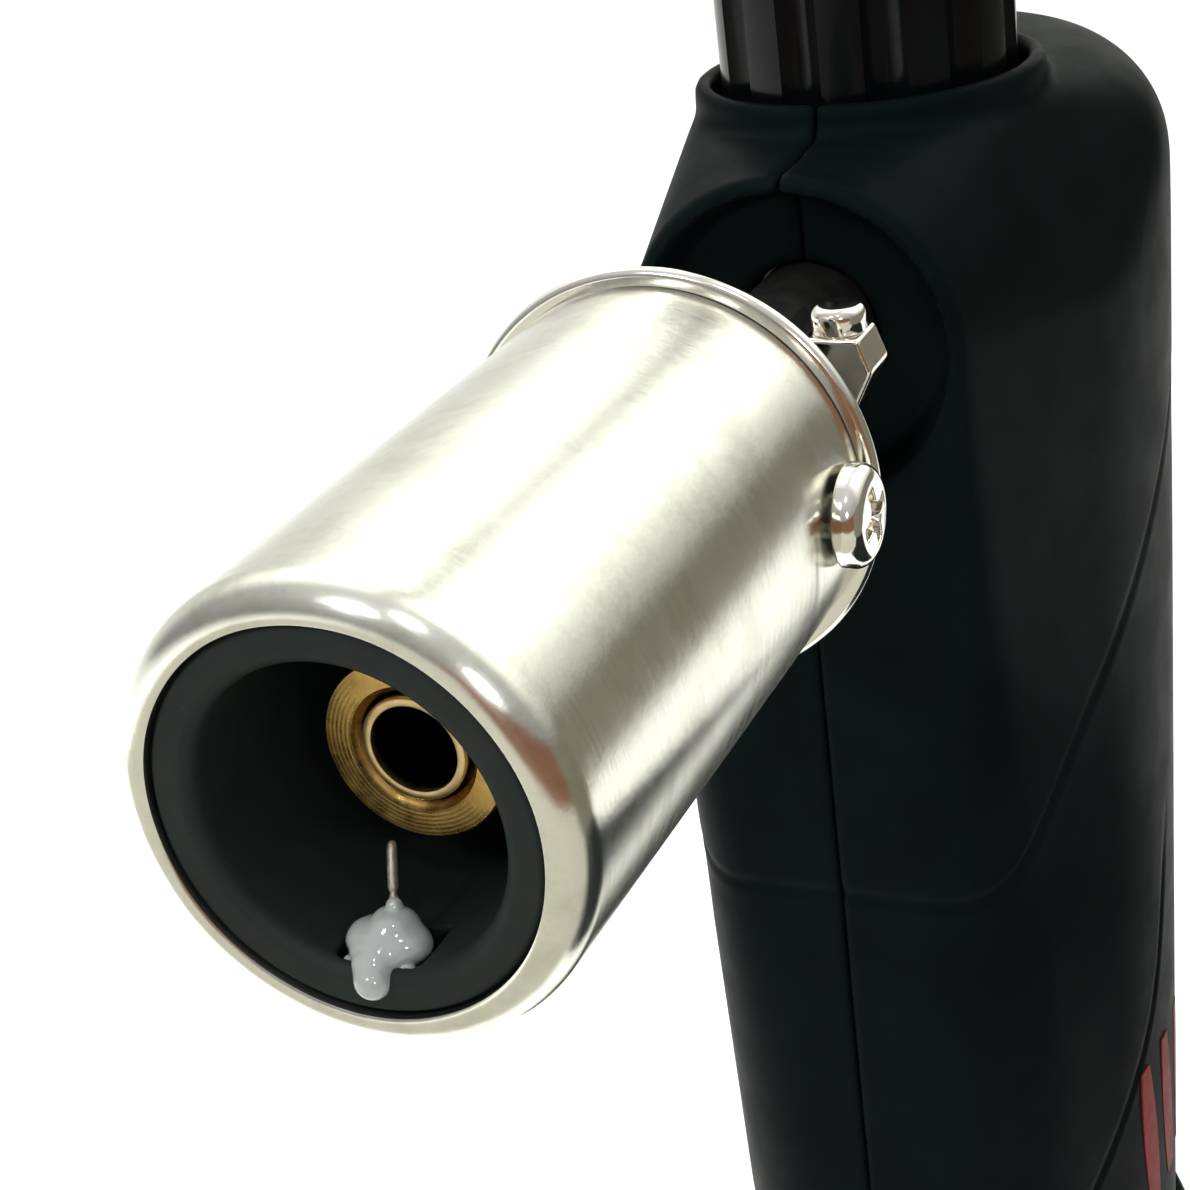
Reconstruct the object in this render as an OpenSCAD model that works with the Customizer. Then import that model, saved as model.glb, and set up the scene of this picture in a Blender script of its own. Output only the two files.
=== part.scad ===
// Hand-held gas torch with a shrouded burner nozzle.
// Left and right are those of someone who faces the nozzle: X is to the right, Y runs from the mouth
// of the nozzle to the back of the grip, and Z is up. The origin is under the middle of the grip, on
// the surface that the torch stands on.

/* [Grip] */
// Width of the grip at its bottom
grip_w_low = 35; // [34.8:0.2:38]
// Width of the grip at the nozzle's height
grip_w_high = 37; // [36.8:0.2:40]
// Distance of the grip's flat-seamed front from the origin
grip_front = 25; // [24.8:0.1:25.6]
// Distance of the grip's back from its widest line
grip_back = 22; // [21.8:0.2:24]
// Distance of the widest line behind the origin at the bottom
widest_low = 2.2; // [1.6:0.1:2.6]
// Distance of the widest line behind the origin at the nozzle's height
widest_high = 5.6; // [4.8:0.1:5.8]
// Squareness of the grip's section: 2 is an ellipse
section_power = 2; // [2:0.05:2.3]
// Height of the nozzle's axis above the ground
axis_h = 112; // [111:1:116]
// Wall thickness of the housing
wall = 2.2; // [1.8:0.1:2.4]
// Radius that rounds the back shoulders into the top
shoulder_r = 9; // [8:0.2:9.4]
// Height above the nozzle's axis where the back shoulders start to round
shoulder_rise = 3.4; // [3:0.2:4]

/* [Nozzle] */
// Outside diameter of the steel barrel
barrel_d = 24; // [23.6:0.1:25]
// Length of the barrel
barrel_len = 39; // [38.6:0.1:39.2]
// Radius that rolls the barrel's mouth inwards
lip_r = 1.8; // [1.4:0.1:2]
// Thickness of the barrel's sheet
sheet = 0.7; // [0.5:0.05:0.8]
// Distance from the mouth to the middle of the grip
reach = 86; // [85.8:0.1:86.2]
// Bore of the liner
liner_bore = 15.66; // [15:0.1:16]
// Depth of the burner head behind the mouth
head_depth = 7.3; // [6.5:0.1:8]
// Outside diameter of the burner head
head_d = 9.4; // [9:0.1:10]
// Outside diameter of the burner head's inner tube
pilot_d = 5.44; // [5.2:0.02:5.6]
// Bore of the inner tube
pilot_bore = 4.54; // [4:0.02:4.6]
// Distance of the barrel's screws behind the mouth
screw_z = 36; // [35.6:0.1:36.2]

/* [Knob] */
// Diameter of the flow knob over its ridges
knob_d = 20.8; // [19:0.2:21.4]
// Number of flutes round the knob
flutes = 11; // [8:1:14]
// Height of the knob's top above the nozzle's axis
knob_top = 32; // [30:0.5:36]
// Distance of the knob's axis in front of the grip's middle
knob_front = 4; // [3.8:0.1:4.2]

/* [Trigger] */
// Height of the trigger's middle above the ground
trigger_z = 97; // [96.8:0.1:97.2]
// Width of the trigger
trigger_w = 13; // [12.6:0.1:13]
// Travel of the trigger
trigger_travel = 5; // [4:0.5:5]

/* [Foot] */
// Width of the foot on the ground
foot_w = 50; // [46:1:56]
// Depth of the foot on the ground
foot_d = 64; // [60:1:68]
// Height of the foot
foot_h = 16; // [15:0.5:18]

/* [Hidden] */
$fn = 64;
black_plastic = "#1d2224";
steel = "#c9c7bf";
brass = "#b08d3c";
eps = 0.02;

// Grip
front_slope = 2;
boss_face_r = 11.4;
rim_base = axis_h + 12;
section_sides = 64;
housing_bottom = 10.2;
tank_bottom = 15;
tank_top = 70;
tank_wall = 1.6;
lid_top = tank_top + 3.5;

// Nozzle, with distances measured back from its mouth
barrel_r = barrel_d / 2;
inner_r = barrel_r - sheet;
lip_mouth_r = barrel_r - lip_r - 0.2;
liner_front = 0.3;
liner_end = 32;
bore_r = liner_bore / 2;
head_end = 24;
head_socket = 30;
tube_r = 3.6;
tube_bore = 2.9;
tube_front = 24.4;
tube_end = 50;
hub_front = 33.2;
hub_end = 38.9;
ring_w = 0.93;
ring_r = barrel_r + 0.89;
air_z = 46.2;
air_hole_r = 1.5;
collar_front = 42.3;
collar_end = 49.3;
collar_r = 5;
holder_front = tube_end + 0.1;
block_face = 67.8;
recess_face = 61;
recess_floor = 65;
recess_r = 10.7;
electrode_drop = 9.2;
insulator_front = 4.5;
insulator_r = 1;
slot_r = 1.06;
notch_drop = 8.4;
notch_r = 2.45;
notch_front = 1.1;
notch_back = 4.4;
insulator_end = 39.6;

// Knob and valve
knob_y = -knob_front;
knob_r = knob_d / 2;
knob_pocket_r = 11;
rim_r = 12.3;
rim_top = axis_h + 14;
pocket_floor = axis_h + 10;
knob_bottom = pocket_floor + 0.8;
knob_roof = axis_h + knob_top;
knob_web = axis_h + 25;
shaft_r = 2.5;
shaft_foot = axis_h + 0.8;
shaft_top = axis_h + 27;
running = 0.06;
block_bottom = axis_h - 7;
block_top = axis_h + 6.6;
block_half = 7.5;
block_back = 6;
needle_r = 1.24;
pipe_y = 3;
pipe_r = 1.5;
pipe_bore = 0.8;
pipe_foot = lid_top + 5.5;

// Trigger and igniter
case_front = 7;
case_back = 21;
case_half = 4;
plunger_r = 2.24;
trigger_half_h = 11;
trigger_front = 16.5;
trigger_back = 33.5;
trigger_wall = 1.6;
trigger_lip = 1.8;
trigger_gap = 0.35;

// Screws through the housing, as [Y, Z]
boss_places = [[-15, 84], [14, 80], [12.5, axis_h + 4]];
boss_r = 2.8;
screw_seat = 10;

// Foot
foot_shift = -3;
sole_t = 1.4;
socket_gap = 0.25;
well_r = 9;

// Places the children on the nozzle's axis: local Z runs back from the mouth and local Y is down.
module along_nozzle() {
    translate([0, -reach, axis_h]) rotate([-90, 0, 0]) children();
}

module ring(outer, inner, front, back) {
    translate([0, 0, front]) difference() {
        cylinder(r = outer, h = back - front);
        translate([0, 0, -1]) cylinder(r = inner, h = back - front + 2);
    }
}

module bar(r, from, to) {
    translate([0, 0, from]) cylinder(r = r, h = to - from);
}

// A bar along X
module cross_bar(r, from, to) {
    translate([from, 0, 0]) rotate([0, 90, 0]) cylinder(r = r, h = to - from);
}

// Outline of a tube whose front edge is rolled in with a radius
module rolled_outline(r, roll, front, back) {
    translate([r - roll, front + roll]) circle(roll);
    translate([0, front + roll]) square([r, back - front - roll]);
    translate([0, front]) square([r - roll, back - front]);
}

// A round cord through a list of points
module swept_cord(points, r, sides) {
    last = len(points) - 1;
    ring_at = [for (i = [0:last])
        let (
            a = points[max(i - 1, 0)],
            b = points[min(i + 1, last)],
            t = (b - a) / norm(b - a),
            side = cross(t, abs(t[0]) < 0.9 ? [1, 0, 0] : [0, 0, 1]),
            u = side / norm(side),
            v = cross(t, u)
        )
        for (k = [0:sides - 1])
            points[i] + r * (cos(360 * k / sides) * u + sin(360 * k / sides) * v)];
    walls = [for (i = [0:last - 1], k = [0:sides - 1])
        let (n = (k + 1) % sides)
        [i * sides + k, (i + 1) * sides + k, (i + 1) * sides + n, i * sides + n]];
    ends = [
        [for (k = [0:sides - 1]) k],
        [for (k = [sides - 1:-1:0]) last * sides + k]
    ];
    polyhedron(points = ring_at, faces = concat(walls, ends));
}

// How far up the grip a height is: 0 at its bottom and 1 at the nozzle's axis
function rise(z) = min(1, max(0, (z - housing_bottom) / (axis_h - housing_bottom)));
function half_w(z) = (grip_w_low + (grip_w_high - grip_w_low) * rise(z)) / 2;
function widest_y(z) = widest_low + (widest_high - widest_low) * rise(z);

// A point on the grip's section at a height, drawn in by an inset
function section_point(a, z, inset) =
    let (depth = (sin(a) < 0 ? grip_front + widest_y(z) : grip_back) - inset)
    [
        (half_w(z) - inset) * sign(cos(a)) * pow(abs(cos(a)), 2 / section_power),
        widest_y(z) + depth * sign(sin(a)) * pow(abs(sin(a)), 2 / section_power)
    ];

module section(z, inset) {
    polygon([for (i = [0:section_sides - 1]) section_point(360 * i / section_sides, z, inset)]);
}

module slice(z, inset) {
    translate([0, 0, z]) linear_extrude(eps) section(z, inset);
}

// The back half of a section, for the fuller shoulders behind the knob
module back_slice(z, inset) {
    translate([0, 0, z]) linear_extrude(eps)
        polygon([for (i = [0:section_sides / 2]) section_point(360 * i / section_sides, z, inset)]);
}

// The grip's outer form, or its hollow when inset by the wall
module grip_form(inset, bottom) {
    round_r = shoulder_r - inset;
    hull() {
        slice(bottom, inset);
        slice(axis_h - front_slope, inset);
        for (a = [0:15:90])
            back_slice(
                axis_h + shoulder_rise + round_r * sin(a) - eps, inset + round_r * (1 - cos(a))
            );
        along_nozzle() translate([0, 0, recess_face + inset])
            cylinder(r = boss_face_r - inset, h = 1);
        knob_axis() translate([0, 0, rim_base - inset - eps])
            cylinder(r = rim_r - inset, h = eps);
    }
}

module knob_axis() {
    translate([0, knob_y, 0]) children();
}

// Half-width of the grip's hollow at a height and a distance from front to back
function hollow_x(y, z) =
    let (
        behind = y - widest_y(z),
        depth = (behind < 0 ? grip_front + widest_y(z) : grip_back) - wall
    )
    (half_w(z) - wall) * pow(1 - pow(abs(behind) / depth, section_power), 1 / section_power);

// One half of the housing, on the +X side, with its bosses and ribs
module housing_half(pilot_r) {
    difference() {
        union() {
            intersection() {
                difference() {
                    grip_form(0, housing_bottom);
                    grip_form(wall, housing_bottom + 2);
                }
                translate([0, -60, 0]) cube([60, 120, 200]);
            }
            intersection() {
                union() {
                    along_nozzle() bar(recess_r + 1, recess_face + 0.8, recess_floor + wall);
                    knob_axis() bar(rim_r, pocket_floor - 1.8, rim_top);
                }
                translate([0, -60, 0]) cube([60, 120, 200]);
            }
            for (p = boss_places)
                translate([0, p[0], p[1]]) cross_bar(boss_r, 0, hollow_x(p[0], p[1]) + wall / 3);
            for (y = [-13, -3])
                translate([block_half + 0.05, y, block_bottom])
                    cube([hollow_x(y, block_bottom) - block_half, 1.6, block_top - block_bottom - 6]);
            translate([case_half + 0.05, case_front, trigger_z - 5])
                cube([hollow_x(case_front, trigger_z) - case_half, 1.4, 10]);
        }
        along_nozzle() {
            translate([0, 0, recess_face - 3]) cylinder(
                r1 = recess_r + 0.9, r2 = recess_r - 1.2, h = recess_floor - recess_face + 3
            );
            bar(4.8, recess_floor - 1, block_face + 1);
            translate([0, electrode_drop, 0]) bar(1.3, recess_floor - 1, block_face + 1);
        }
        knob_axis() {
            bar(knob_pocket_r, pocket_floor, rim_top + 5);
            bar(3.1, pocket_floor - 3, pocket_floor + 1);
        }
        translate([0, 0, housing_bottom - 1]) cylinder(r = 6.2, h = 4);
        translate([
            -trigger_w / 2 - trigger_gap, trigger_front, trigger_z - trigger_half_h - trigger_gap
        ])
            cube([trigger_w + 2 * trigger_gap, 20, 2 * (trigger_half_h + trigger_gap)]);
        for (p = boss_places)
            translate([0, p[0], p[1]]) cross_bar(pilot_r, -1, 8);
    }
}

// The left half also has the wells that the screws go in by
module housing_left() {
    color(black_plastic) difference() {
        mirror([1, 0, 0]) housing_half(1.3);
        for (p = boss_places)
            translate([0, p[0], p[1]]) {
                cross_bar(1.3, -grip_w_high, 0);
                cross_bar(2.5, -grip_w_high, -screw_seat);
            }
    }
}

module housing_right() {
    color(black_plastic) housing_half(1.05);
}

module housing_screws() {
    color(steel) for (p = boss_places)
        translate([0, p[0], p[1]]) difference() {
            union() {
                cross_bar(2.3, -screw_seat - 1.8, -screw_seat);
                cross_bar(1.05, -screw_seat, 7);
            }
            for (a = [0, 90])
                rotate([a, 0, 0]) translate([-screw_seat - 2.8, -0.3, -1.4]) cube([2, 0.6, 2.8]);
        }
}

// The steel barrel, rolled in at its mouth
module barrel_shroud() {
    color(steel) along_nozzle() difference() {
        rotate_extrude($fn = 96) difference() {
            rolled_outline(barrel_r, lip_r, 0, barrel_len);
            rolled_outline(inner_r, lip_r - sheet, sheet, barrel_len + 1);
            translate([0, -1]) square([lip_mouth_r, barrel_len + 2]);
        }
        translate([0, 0, screw_z]) cross_bar(1.6, -20, 20);
    }
}

// The bead that closes the barrel's back edge
module rear_ring() {
    color(steel) along_nozzle() rotate_extrude($fn = 96) difference() {
        union() {
            translate([0, barrel_len + 0.1]) square([ring_r - ring_w / 2, ring_w]);
            translate([ring_r - ring_w / 2, barrel_len + 0.1 + ring_w / 2]) circle(ring_w / 2);
        }
        square([inner_r - 0.7, 60]);
    }
}

module electrode_slot() {
    translate([0, electrode_drop, 0]) bar(slot_r, notch_front + 1, liner_end + 1);
    translate([0, notch_drop, 0]) bar(notch_r, notch_front, notch_back);
}

// The heat-proof sleeve inside the barrel
module shroud_liner() {
    color("#3c4040") along_nozzle() difference() {
        rotate_extrude($fn = 96) difference() {
            union() {
                rolled_outline(inner_r - 0.1, lip_r - sheet - 0.1, sheet + 0.1, liner_end);
                translate([0, liner_front]) square([lip_mouth_r - 0.1, 2]);
            }
            translate([0, -1]) square([bore_r, liner_end + 2]);
            polygon([
                [0, 0], [bore_r + 0.57, 0], [bore_r + 0.57, liner_front],
                [bore_r, liner_front + 0.6], [0, liner_front + 0.6]
            ]);
        }
        electrode_slot();
    }
}

// The brass nose of the burner
module burner_head() {
    color(brass) along_nozzle() difference() {
        union() {
            bar(head_d / 2, head_depth, head_end);
            bar(5.4, head_end, head_socket);
        }
        translate([0, 0, head_depth - 1]) cylinder(r = pilot_d / 2 + 0.23, h = 20);
        translate([0, 0, head_depth - eps]) cylinder(r1 = 3.2, r2 = 2.95, h = 0.3);
        bar(tube_r + eps, head_end + 0.2, head_socket + 1);
    }
}

// The thin tube inside the burner head, with the ribs that centre it
module inner_tube() {
    color(brass) along_nozzle() difference() {
        union() {
            bar(pilot_d / 2, head_depth, head_end - 4);
            for (a = [30, 150, 270], z = [head_depth + 0.6, head_end - 6])
                rotate([0, 0, a]) translate([0, -0.35, z])
                    cube([pilot_d / 2 + 0.22, 0.7, 1.6]);
        }
        bar(pilot_bore / 2, head_depth - 1, head_end);
    }
}

// The carrier that holds the burner in the middle of the barrel
module burner_hub() {
    color("#9a9b98") along_nozzle() difference() {
        union() {
            bar(inner_r - 0.1, hub_front, hub_end);
            bar(inner_r - 0.75, hub_front, barrel_len + 0.1 + ring_w);
        }
        bar(tube_r + eps, hub_front - 1, 45);
        for (a = [45, 135, 225, 315])
            rotate([0, 0, a]) translate([7.1, 0, hub_front - 1]) cylinder(r = 1.9, h = 10);
        translate([0, electrode_drop, hub_front - 1]) cylinder(r = slot_r, h = 10);
        translate([0, 0, screw_z]) cross_bar(1.5, -20, -6);
        translate([0, 0, screw_z]) cross_bar(1.5, 6, 20);
    }
}

// One cross-recessed screw on the +X side, its head's seat on the barrel
module barrel_screw() {
    head_r = 2.95;
    head_h = 1.7;
    difference() {
        union() {
            cross_bar(1.45, 6.4, barrel_r);
            translate([barrel_r, 0, 0]) rotate([0, 90, 0]) rotate_extrude() intersection() {
                square([head_r, head_h]);
                union() {
                    square([head_r, 0.6]);
                    translate([head_r - 1.1, 0.6]) circle(1.1);
                    square([head_r - 1.1, head_h]);
                }
            }
        }
        for (a = [0, 90])
            rotate([a, 0, 0]) translate([barrel_r + 0.7, -0.42, -1.75]) cube([2, 0.84, 3.5]);
    }
}

module shroud_screws() {
    color(steel) along_nozzle() translate([0, 0, screw_z]) {
        barrel_screw();
        mirror([1, 0, 0]) barrel_screw();
    }
}

module air_holes(r) {
    for (a = [0, 90])
        rotate([0, 0, a]) translate([0, 0, air_z]) rotate([0, 90, 0])
            cylinder(r = r, h = 40, center = true);
}

module mixing_tube() {
    color(brass) along_nozzle() difference() {
        ring(tube_r, tube_bore, tube_front, tube_end);
        air_holes(air_hole_r);
    }
}

// Outline of the collar's lever, seen along the nozzle, as [X, height above the axis]
lever_outline = [[3, 3.9], [4.4, 2.3], [9.8, 2.4], [11, 4.8], [10.3, 6.8], [7.1, 6.8]];

// The sleeve that turns to cover the air holes
module air_collar() {
    color(steel) along_nozzle() difference() {
        union() {
            bar(collar_r, collar_front, collar_end);
            bar(collar_r + 0.9, collar_front, collar_front + 1);
            translate([0, 0, 45]) linear_extrude(3.4)
                polygon([for (p = lever_outline) [p[0], -p[1]]]);
        }
        bar(tube_r + running, collar_front - 1, collar_end + 1);
        intersection() {
            air_holes(air_hole_r);
            bar(collar_r + 0.4, 40, 50);
        }
    }
}

module air_lever_stud() {
    color(steel) translate([8.7, -reach + 46.7, axis_h + 6.8]) {
        cylinder(r = 1.6, h = 1);
        translate([0, 0, 1]) rotate_extrude() intersection() {
            square([1.6, 0.6]);
            union() {
                square([1, 0.6]);
                translate([1, 0]) circle(0.6);
            }
        }
    }
}

module gas_jet() {
    color(brass) along_nozzle() difference() {
        union() {
            bar(1.5, 47.2, 50.4);
            translate([0, 0, 46.8]) cylinder(r1 = 0.8, r2 = 1.5, h = 0.4);
        }
        bar(0.15, 46, 52);
        bar(0.9, 48, 52);
    }
}

module jet_filter() {
    color("#8c7a55") along_nozzle() bar(1.48, 50.6, 52.4);
}

module jet_holder() {
    color(brass) along_nozzle() difference() {
        union() {
            bar(tube_bore - eps, 47.9, holder_front + 0.5);
            bar(4.6, holder_front, block_face);
            translate([0, 0, 53]) cylinder(r = 5, h = 5, $fn = 6);
            bar(3.48, block_face - 1, block_face + 5);
        }
        bar(1.5, 47, 53);
        bar(0.9, 52, block_face + 6);
    }
}

// The igniter's wire, from the insulator up to its tip under the burner head
wire_route = [
    [0, 9.2, 39.4], [0, 9.2, 20], [0, 9.2, 4.6], [0.05, 8.9, 3.7], [0.2, 7.9, 3.1],
    [0.25, 6.6, 2.95], [0.2, 5.7, 3.05], [0, 4.7, 3.7], [-0.3, 3.75, 4.5]
];

module electrode_wire() {
    color("#8a8172") along_nozzle() swept_cord(wire_route, 0.25, 10);
}

module electrode_insulator() {
    color("#e4ded0") along_nozzle() translate([0, electrode_drop, 0])
        ring(insulator_r, 0.3, insulator_front, insulator_end);
}

// The soft sealant that holds the wire in the liner's notch and runs over its front edge
module electrode_sealant() {
    color("#aab2b2") along_nozzle() difference() {
        union() {
            translate([0, 7.6, 2.5]) sphere(1.7);
            translate([-0.3, 8, 1.2]) sphere(1.1);
            translate([-0.1, 8.3, 0.2]) sphere(0.82);
        }
        shroud_liner_solid();
    }
}

module shroud_liner_solid() {
    difference() {
        ring(inner_r, bore_r, liner_front, 8);
        electrode_slot();
    }
}

// The igniter's lead, from the igniter to the back of the insulator
lead_route = [
    [-2.5, 5.5, 95], [-2.5, 4.8, 95], [-3.4, 3, 95], [-4.6, 0.2, 95.4], [-5, -3, 96.4],
    [-4.6, -6.4, 97.8], [-3.6, -9.6, 99.8], [-2.2, -12.8, 101.5], [-0.9, -15.8, 102.5],
    [0, -19, 102.8], [0, -23.4, 102.8], [0, -30, 102.8], [0, -38, 102.8], [0, -46.3, 102.8]
];

module ignition_lead() {
    color("#b23a2e") swept_cord(lead_route, 0.9, 10);
}

// The block that carries the burner in front and the flow valve on top
module valve_block() {
    color("#a9aaa6") difference() {
        translate([-block_half, block_face - reach, block_bottom])
            cube([2 * block_half, block_back + reach - block_face, block_top - block_bottom]);
        along_nozzle() bar(3.5, block_face - 1, block_face + 6.2);
        knob_axis() {
            bar(1.9, block_bottom + 1.5, axis_h + 1);
            bar(4, axis_h + 0.6, block_top + 1);
            bar(0.4, block_bottom + 0.8, block_bottom + 2);
        }
        translate([0, pipe_y, block_bottom - 1]) cylinder(r = 0.7, h = 1.8);
        translate([0, pipe_y, block_bottom + 0.8]) rotate([90, 0, 0])
            cylinder(r = 0.5, h = pipe_y - knob_y);
        translate([0, knob_y, axis_h - 1]) rotate([90, 0, 0]) cylinder(r = 0.9, h = 9);
    }
}

module valve_needle() {
    color(brass) knob_axis() {
        translate([0, 0, block_bottom + 1.6]) cylinder(r1 = 0.3, r2 = needle_r, h = 1.9);
        bar(needle_r, block_bottom + 3.5, shaft_foot + 1.5);
    }
}

module gland_nut() {
    color(brass) knob_axis() difference() {
        union() {
            bar(3.98, axis_h + 3, block_top + 0.5);
            translate([0, 0, block_top]) cylinder(r = 4.8, h = 1.4, $fn = 6);
        }
        bar(shaft_r + running, axis_h, block_top + 4);
    }
}

module gland_o_ring() {
    color("#26221f") knob_axis() translate([0, 0, axis_h + 2]) rotate_extrude()
        translate([3.25, 0]) circle(0.68);
}

module knob_shaft() {
    color(steel) knob_axis() difference() {
        bar(shaft_r, shaft_foot, shaft_top);
        bar(needle_r + running, shaft_foot - 1, shaft_foot + 3);
        bar(1.25, shaft_top - 6, shaft_top + 1);
    }
}

module friction_washer() {
    color("#d8d4c8") knob_axis() ring(5.4, 3.3, pocket_floor, pocket_floor + 0.45);
}

// The fluted knob, hollow underneath, with a hub on the shaft
module flow_knob() {
    flute_r = 1.5;
    color(black_plastic) knob_axis() difference() {
        union() {
            difference() {
                rotate_extrude() difference() {
                    union() {
                        translate([0, knob_bottom])
                            square([knob_r, knob_roof - 1.2 - knob_bottom]);
                        translate([0, knob_bottom])
                            square([knob_r - 1.2, knob_roof - knob_bottom]);
                        translate([knob_r - 1.2, knob_roof - 1.2]) circle(1.2);
                    }
                    square([knob_r - 2.6, knob_web]);
                    translate([0, knob_roof - 1.6]) square([6.6, 3]);
                    translate([0, knob_web + 2]) square([4, 10]);
                }
                for (i = [0:flutes - 1])
                    rotate([0, 0, 360 * i / flutes])
                        translate([knob_r + 0.55, 0, knob_bottom - 1])
                            cylinder(r = flute_r, h = 40);
            }
            bar(4.6, knob_bottom, knob_web + 0.5);
        }
        bar(shaft_r, knob_bottom - 1, knob_web + 3);
    }
}

module knob_screw() {
    color(steel) knob_axis() difference() {
        union() {
            bar(3.2, shaft_top, shaft_top + 1.6);
            bar(1.25, shaft_top - 5.6, shaft_top);
        }
        for (a = [0, 90])
            rotate([0, 0, a]) translate([-1.6, -0.35, shaft_top + 0.7]) cube([3.2, 0.7, 2]);
    }
}

module knob_cap() {
    color("#14181a") knob_axis() {
        bar(6.5, knob_roof - 1.6, knob_roof - 0.3);
        bar(3.9, knob_roof - 2.2, knob_roof - 1.5);
    }
}

module gas_pipe() {
    color(brass) translate([0, pipe_y, 0]) ring(pipe_r, pipe_bore, pipe_foot, block_bottom);
}

// A union nut at each end of the gas pipe
module pipe_nuts() {
    nut_h = 5;
    color(brass) translate([0, pipe_y, 0]) {
        difference() {
            translate([0, 0, pipe_foot - 2]) cylinder(r = 3.4, h = nut_h, $fn = 6);
            bar(pipe_r + eps, pipe_foot - 3, pipe_foot + nut_h);
            bar(2.2, pipe_foot - 3, pipe_foot);
        }
        difference() {
            translate([0, 0, block_bottom - nut_h]) cylinder(r = 3.2, h = nut_h, $fn = 6);
            bar(pipe_r + eps, block_bottom - nut_h - 1, block_bottom + 1);
        }
    }
}

module fuel_tank() {
    tank_inset = wall + 0.3;
    color("#5d6468") difference() {
        translate([0, 0, tank_bottom]) linear_extrude(tank_top - tank_bottom)
            section(tank_bottom, tank_inset);
        translate([0, 0, tank_bottom + 2]) linear_extrude(tank_top)
            section(tank_bottom, tank_inset + tank_wall);
        bar(4, tank_bottom - 1, tank_bottom + 3);
    }
}

// The welded lid, with the outlet's stub
module tank_lid() {
    lid_inset = wall + 0.3;
    color("#5d6468") difference() {
        union() {
            translate([0, 0, tank_top]) linear_extrude(lid_top - tank_top)
                section(tank_bottom, lid_inset);
            translate([0, 0, tank_top - 2]) linear_extrude(3)
                section(tank_bottom, lid_inset + tank_wall + 0.05);
            translate([0, pipe_y, lid_top - 1]) cylinder(r = 2.2 - eps, h = pipe_foot - lid_top + 1);
        }
        translate([0, pipe_y, tank_top - 3]) cylinder(r = pipe_bore, h = 20);
    }
}

module fill_valve_body() {
    color(brass) difference() {
        union() {
            bar(4, 8, 24);
            translate([0, 0, 12.4]) cylinder(r = 5.8, h = tank_bottom - 12.4, $fn = 6);
        }
        bar(2.4, 7, 11);
        bar(1.3 + running, 10, 15);
        bar(3, 14, 23);
        bar(1, 22, 25);
    }
}

module fill_valve_stem() {
    color(steel) {
        bar(1.3, 11.1, 17);
        bar(2.6, 15.75, 16.9);
    }
}

module fill_valve_seal() {
    color("#26221f") translate([0, 0, 14.75]) rotate_extrude() translate([2.12, 0]) circle(0.72);
}

module fill_valve_spring() {
    color(steel) ring(2.6, 1.9, 17, 22.9);
}

module piezo_case() {
    color("#2b2f33") difference() {
        translate([-case_half, case_front, trigger_z - case_half])
            cube([2 * case_half, case_back - case_front, 2 * case_half]);
        translate([0, case_front + 1, trigger_z]) rotate([-90, 0, 0])
            cylinder(r = plunger_r + running, h = 20);
    }
}

module piezo_terminal() {
    color(brass) translate([-2.5, 5.5, trigger_z - 2]) rotate([-90, 0, 0])
        cylinder(r = 1.3, h = case_front - 5.5);
}

module piezo_plunger() {
    color("#d9d2c0") translate([0, case_front + 1 + trigger_travel + 0.5, trigger_z])
        rotate([-90, 0, 0])
            cylinder(r = plunger_r, h = trigger_back - trigger_wall - case_front - trigger_travel - 1.5);
}

// The thumb trigger: a hollow cap with a lip on each side that keeps it in the housing
module trigger() {
    color("#22282b") difference() {
        union() {
            intersection() {
                translate([-trigger_w / 2, trigger_front, trigger_z - trigger_half_h])
                    cube([trigger_w, trigger_back - trigger_front, 2 * trigger_half_h]);
                translate([0, trigger_back - 30, trigger_z]) rotate([0, 90, 0])
                    cylinder(r = 30, h = 40, center = true, $fn = 120);
            }
            translate([
                -trigger_w / 2 - trigger_lip, trigger_front + 3.1, trigger_z - trigger_half_h + 1
            ])
                cube([trigger_w + 2 * trigger_lip, trigger_lip, 2 * trigger_half_h - 2]);
        }
        translate([-trigger_w / 2 + 1.5, 0, trigger_z - trigger_half_h + trigger_wall])
            cube([trigger_w - 3, trigger_back - trigger_wall, 2 * (trigger_half_h - trigger_wall)]);
    }
}

module trigger_spring() {
    color(steel) translate([0, case_back, trigger_z]) rotate([-90, 0, 0])
        ring(3.4, 2.6, 0, trigger_back - trigger_wall - case_back);
}

module foot_outline(grow) {
    sides = 96;
    polygon([for (i = [0:sides - 1])
        [
            (foot_w / 2 + grow) * cos(360 * i / sides),
            foot_shift + (foot_d / 2 + grow) * sin(360 * i / sides)
        ]]);
}

// The flared foot that the housing stands in, with the well round the filling valve
module base_foot() {
    color(black_plastic) difference() {
        hull() {
            translate([0, 0, sole_t]) linear_extrude(2) foot_outline(0);
            slice(foot_h - eps, -1.4);
        }
        translate([0, 0, housing_bottom]) linear_extrude(foot_h) section(housing_bottom + 4, -socket_gap);
        difference() {
            translate([0, 0, sole_t - 1]) linear_extrude(housing_bottom - sole_t - 1.2)
                section(housing_bottom, -0.6);
            cylinder(r = well_r + 1.8, h = 40);
        }
        cylinder(r = well_r, h = 40);
    }
}

module foot_sole() {
    color("#121415") difference() {
        linear_extrude(sole_t) foot_outline(-1);
        translate([0, 0, -1]) cylinder(r = well_r + 0.8, h = 4);
    }
}

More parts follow.
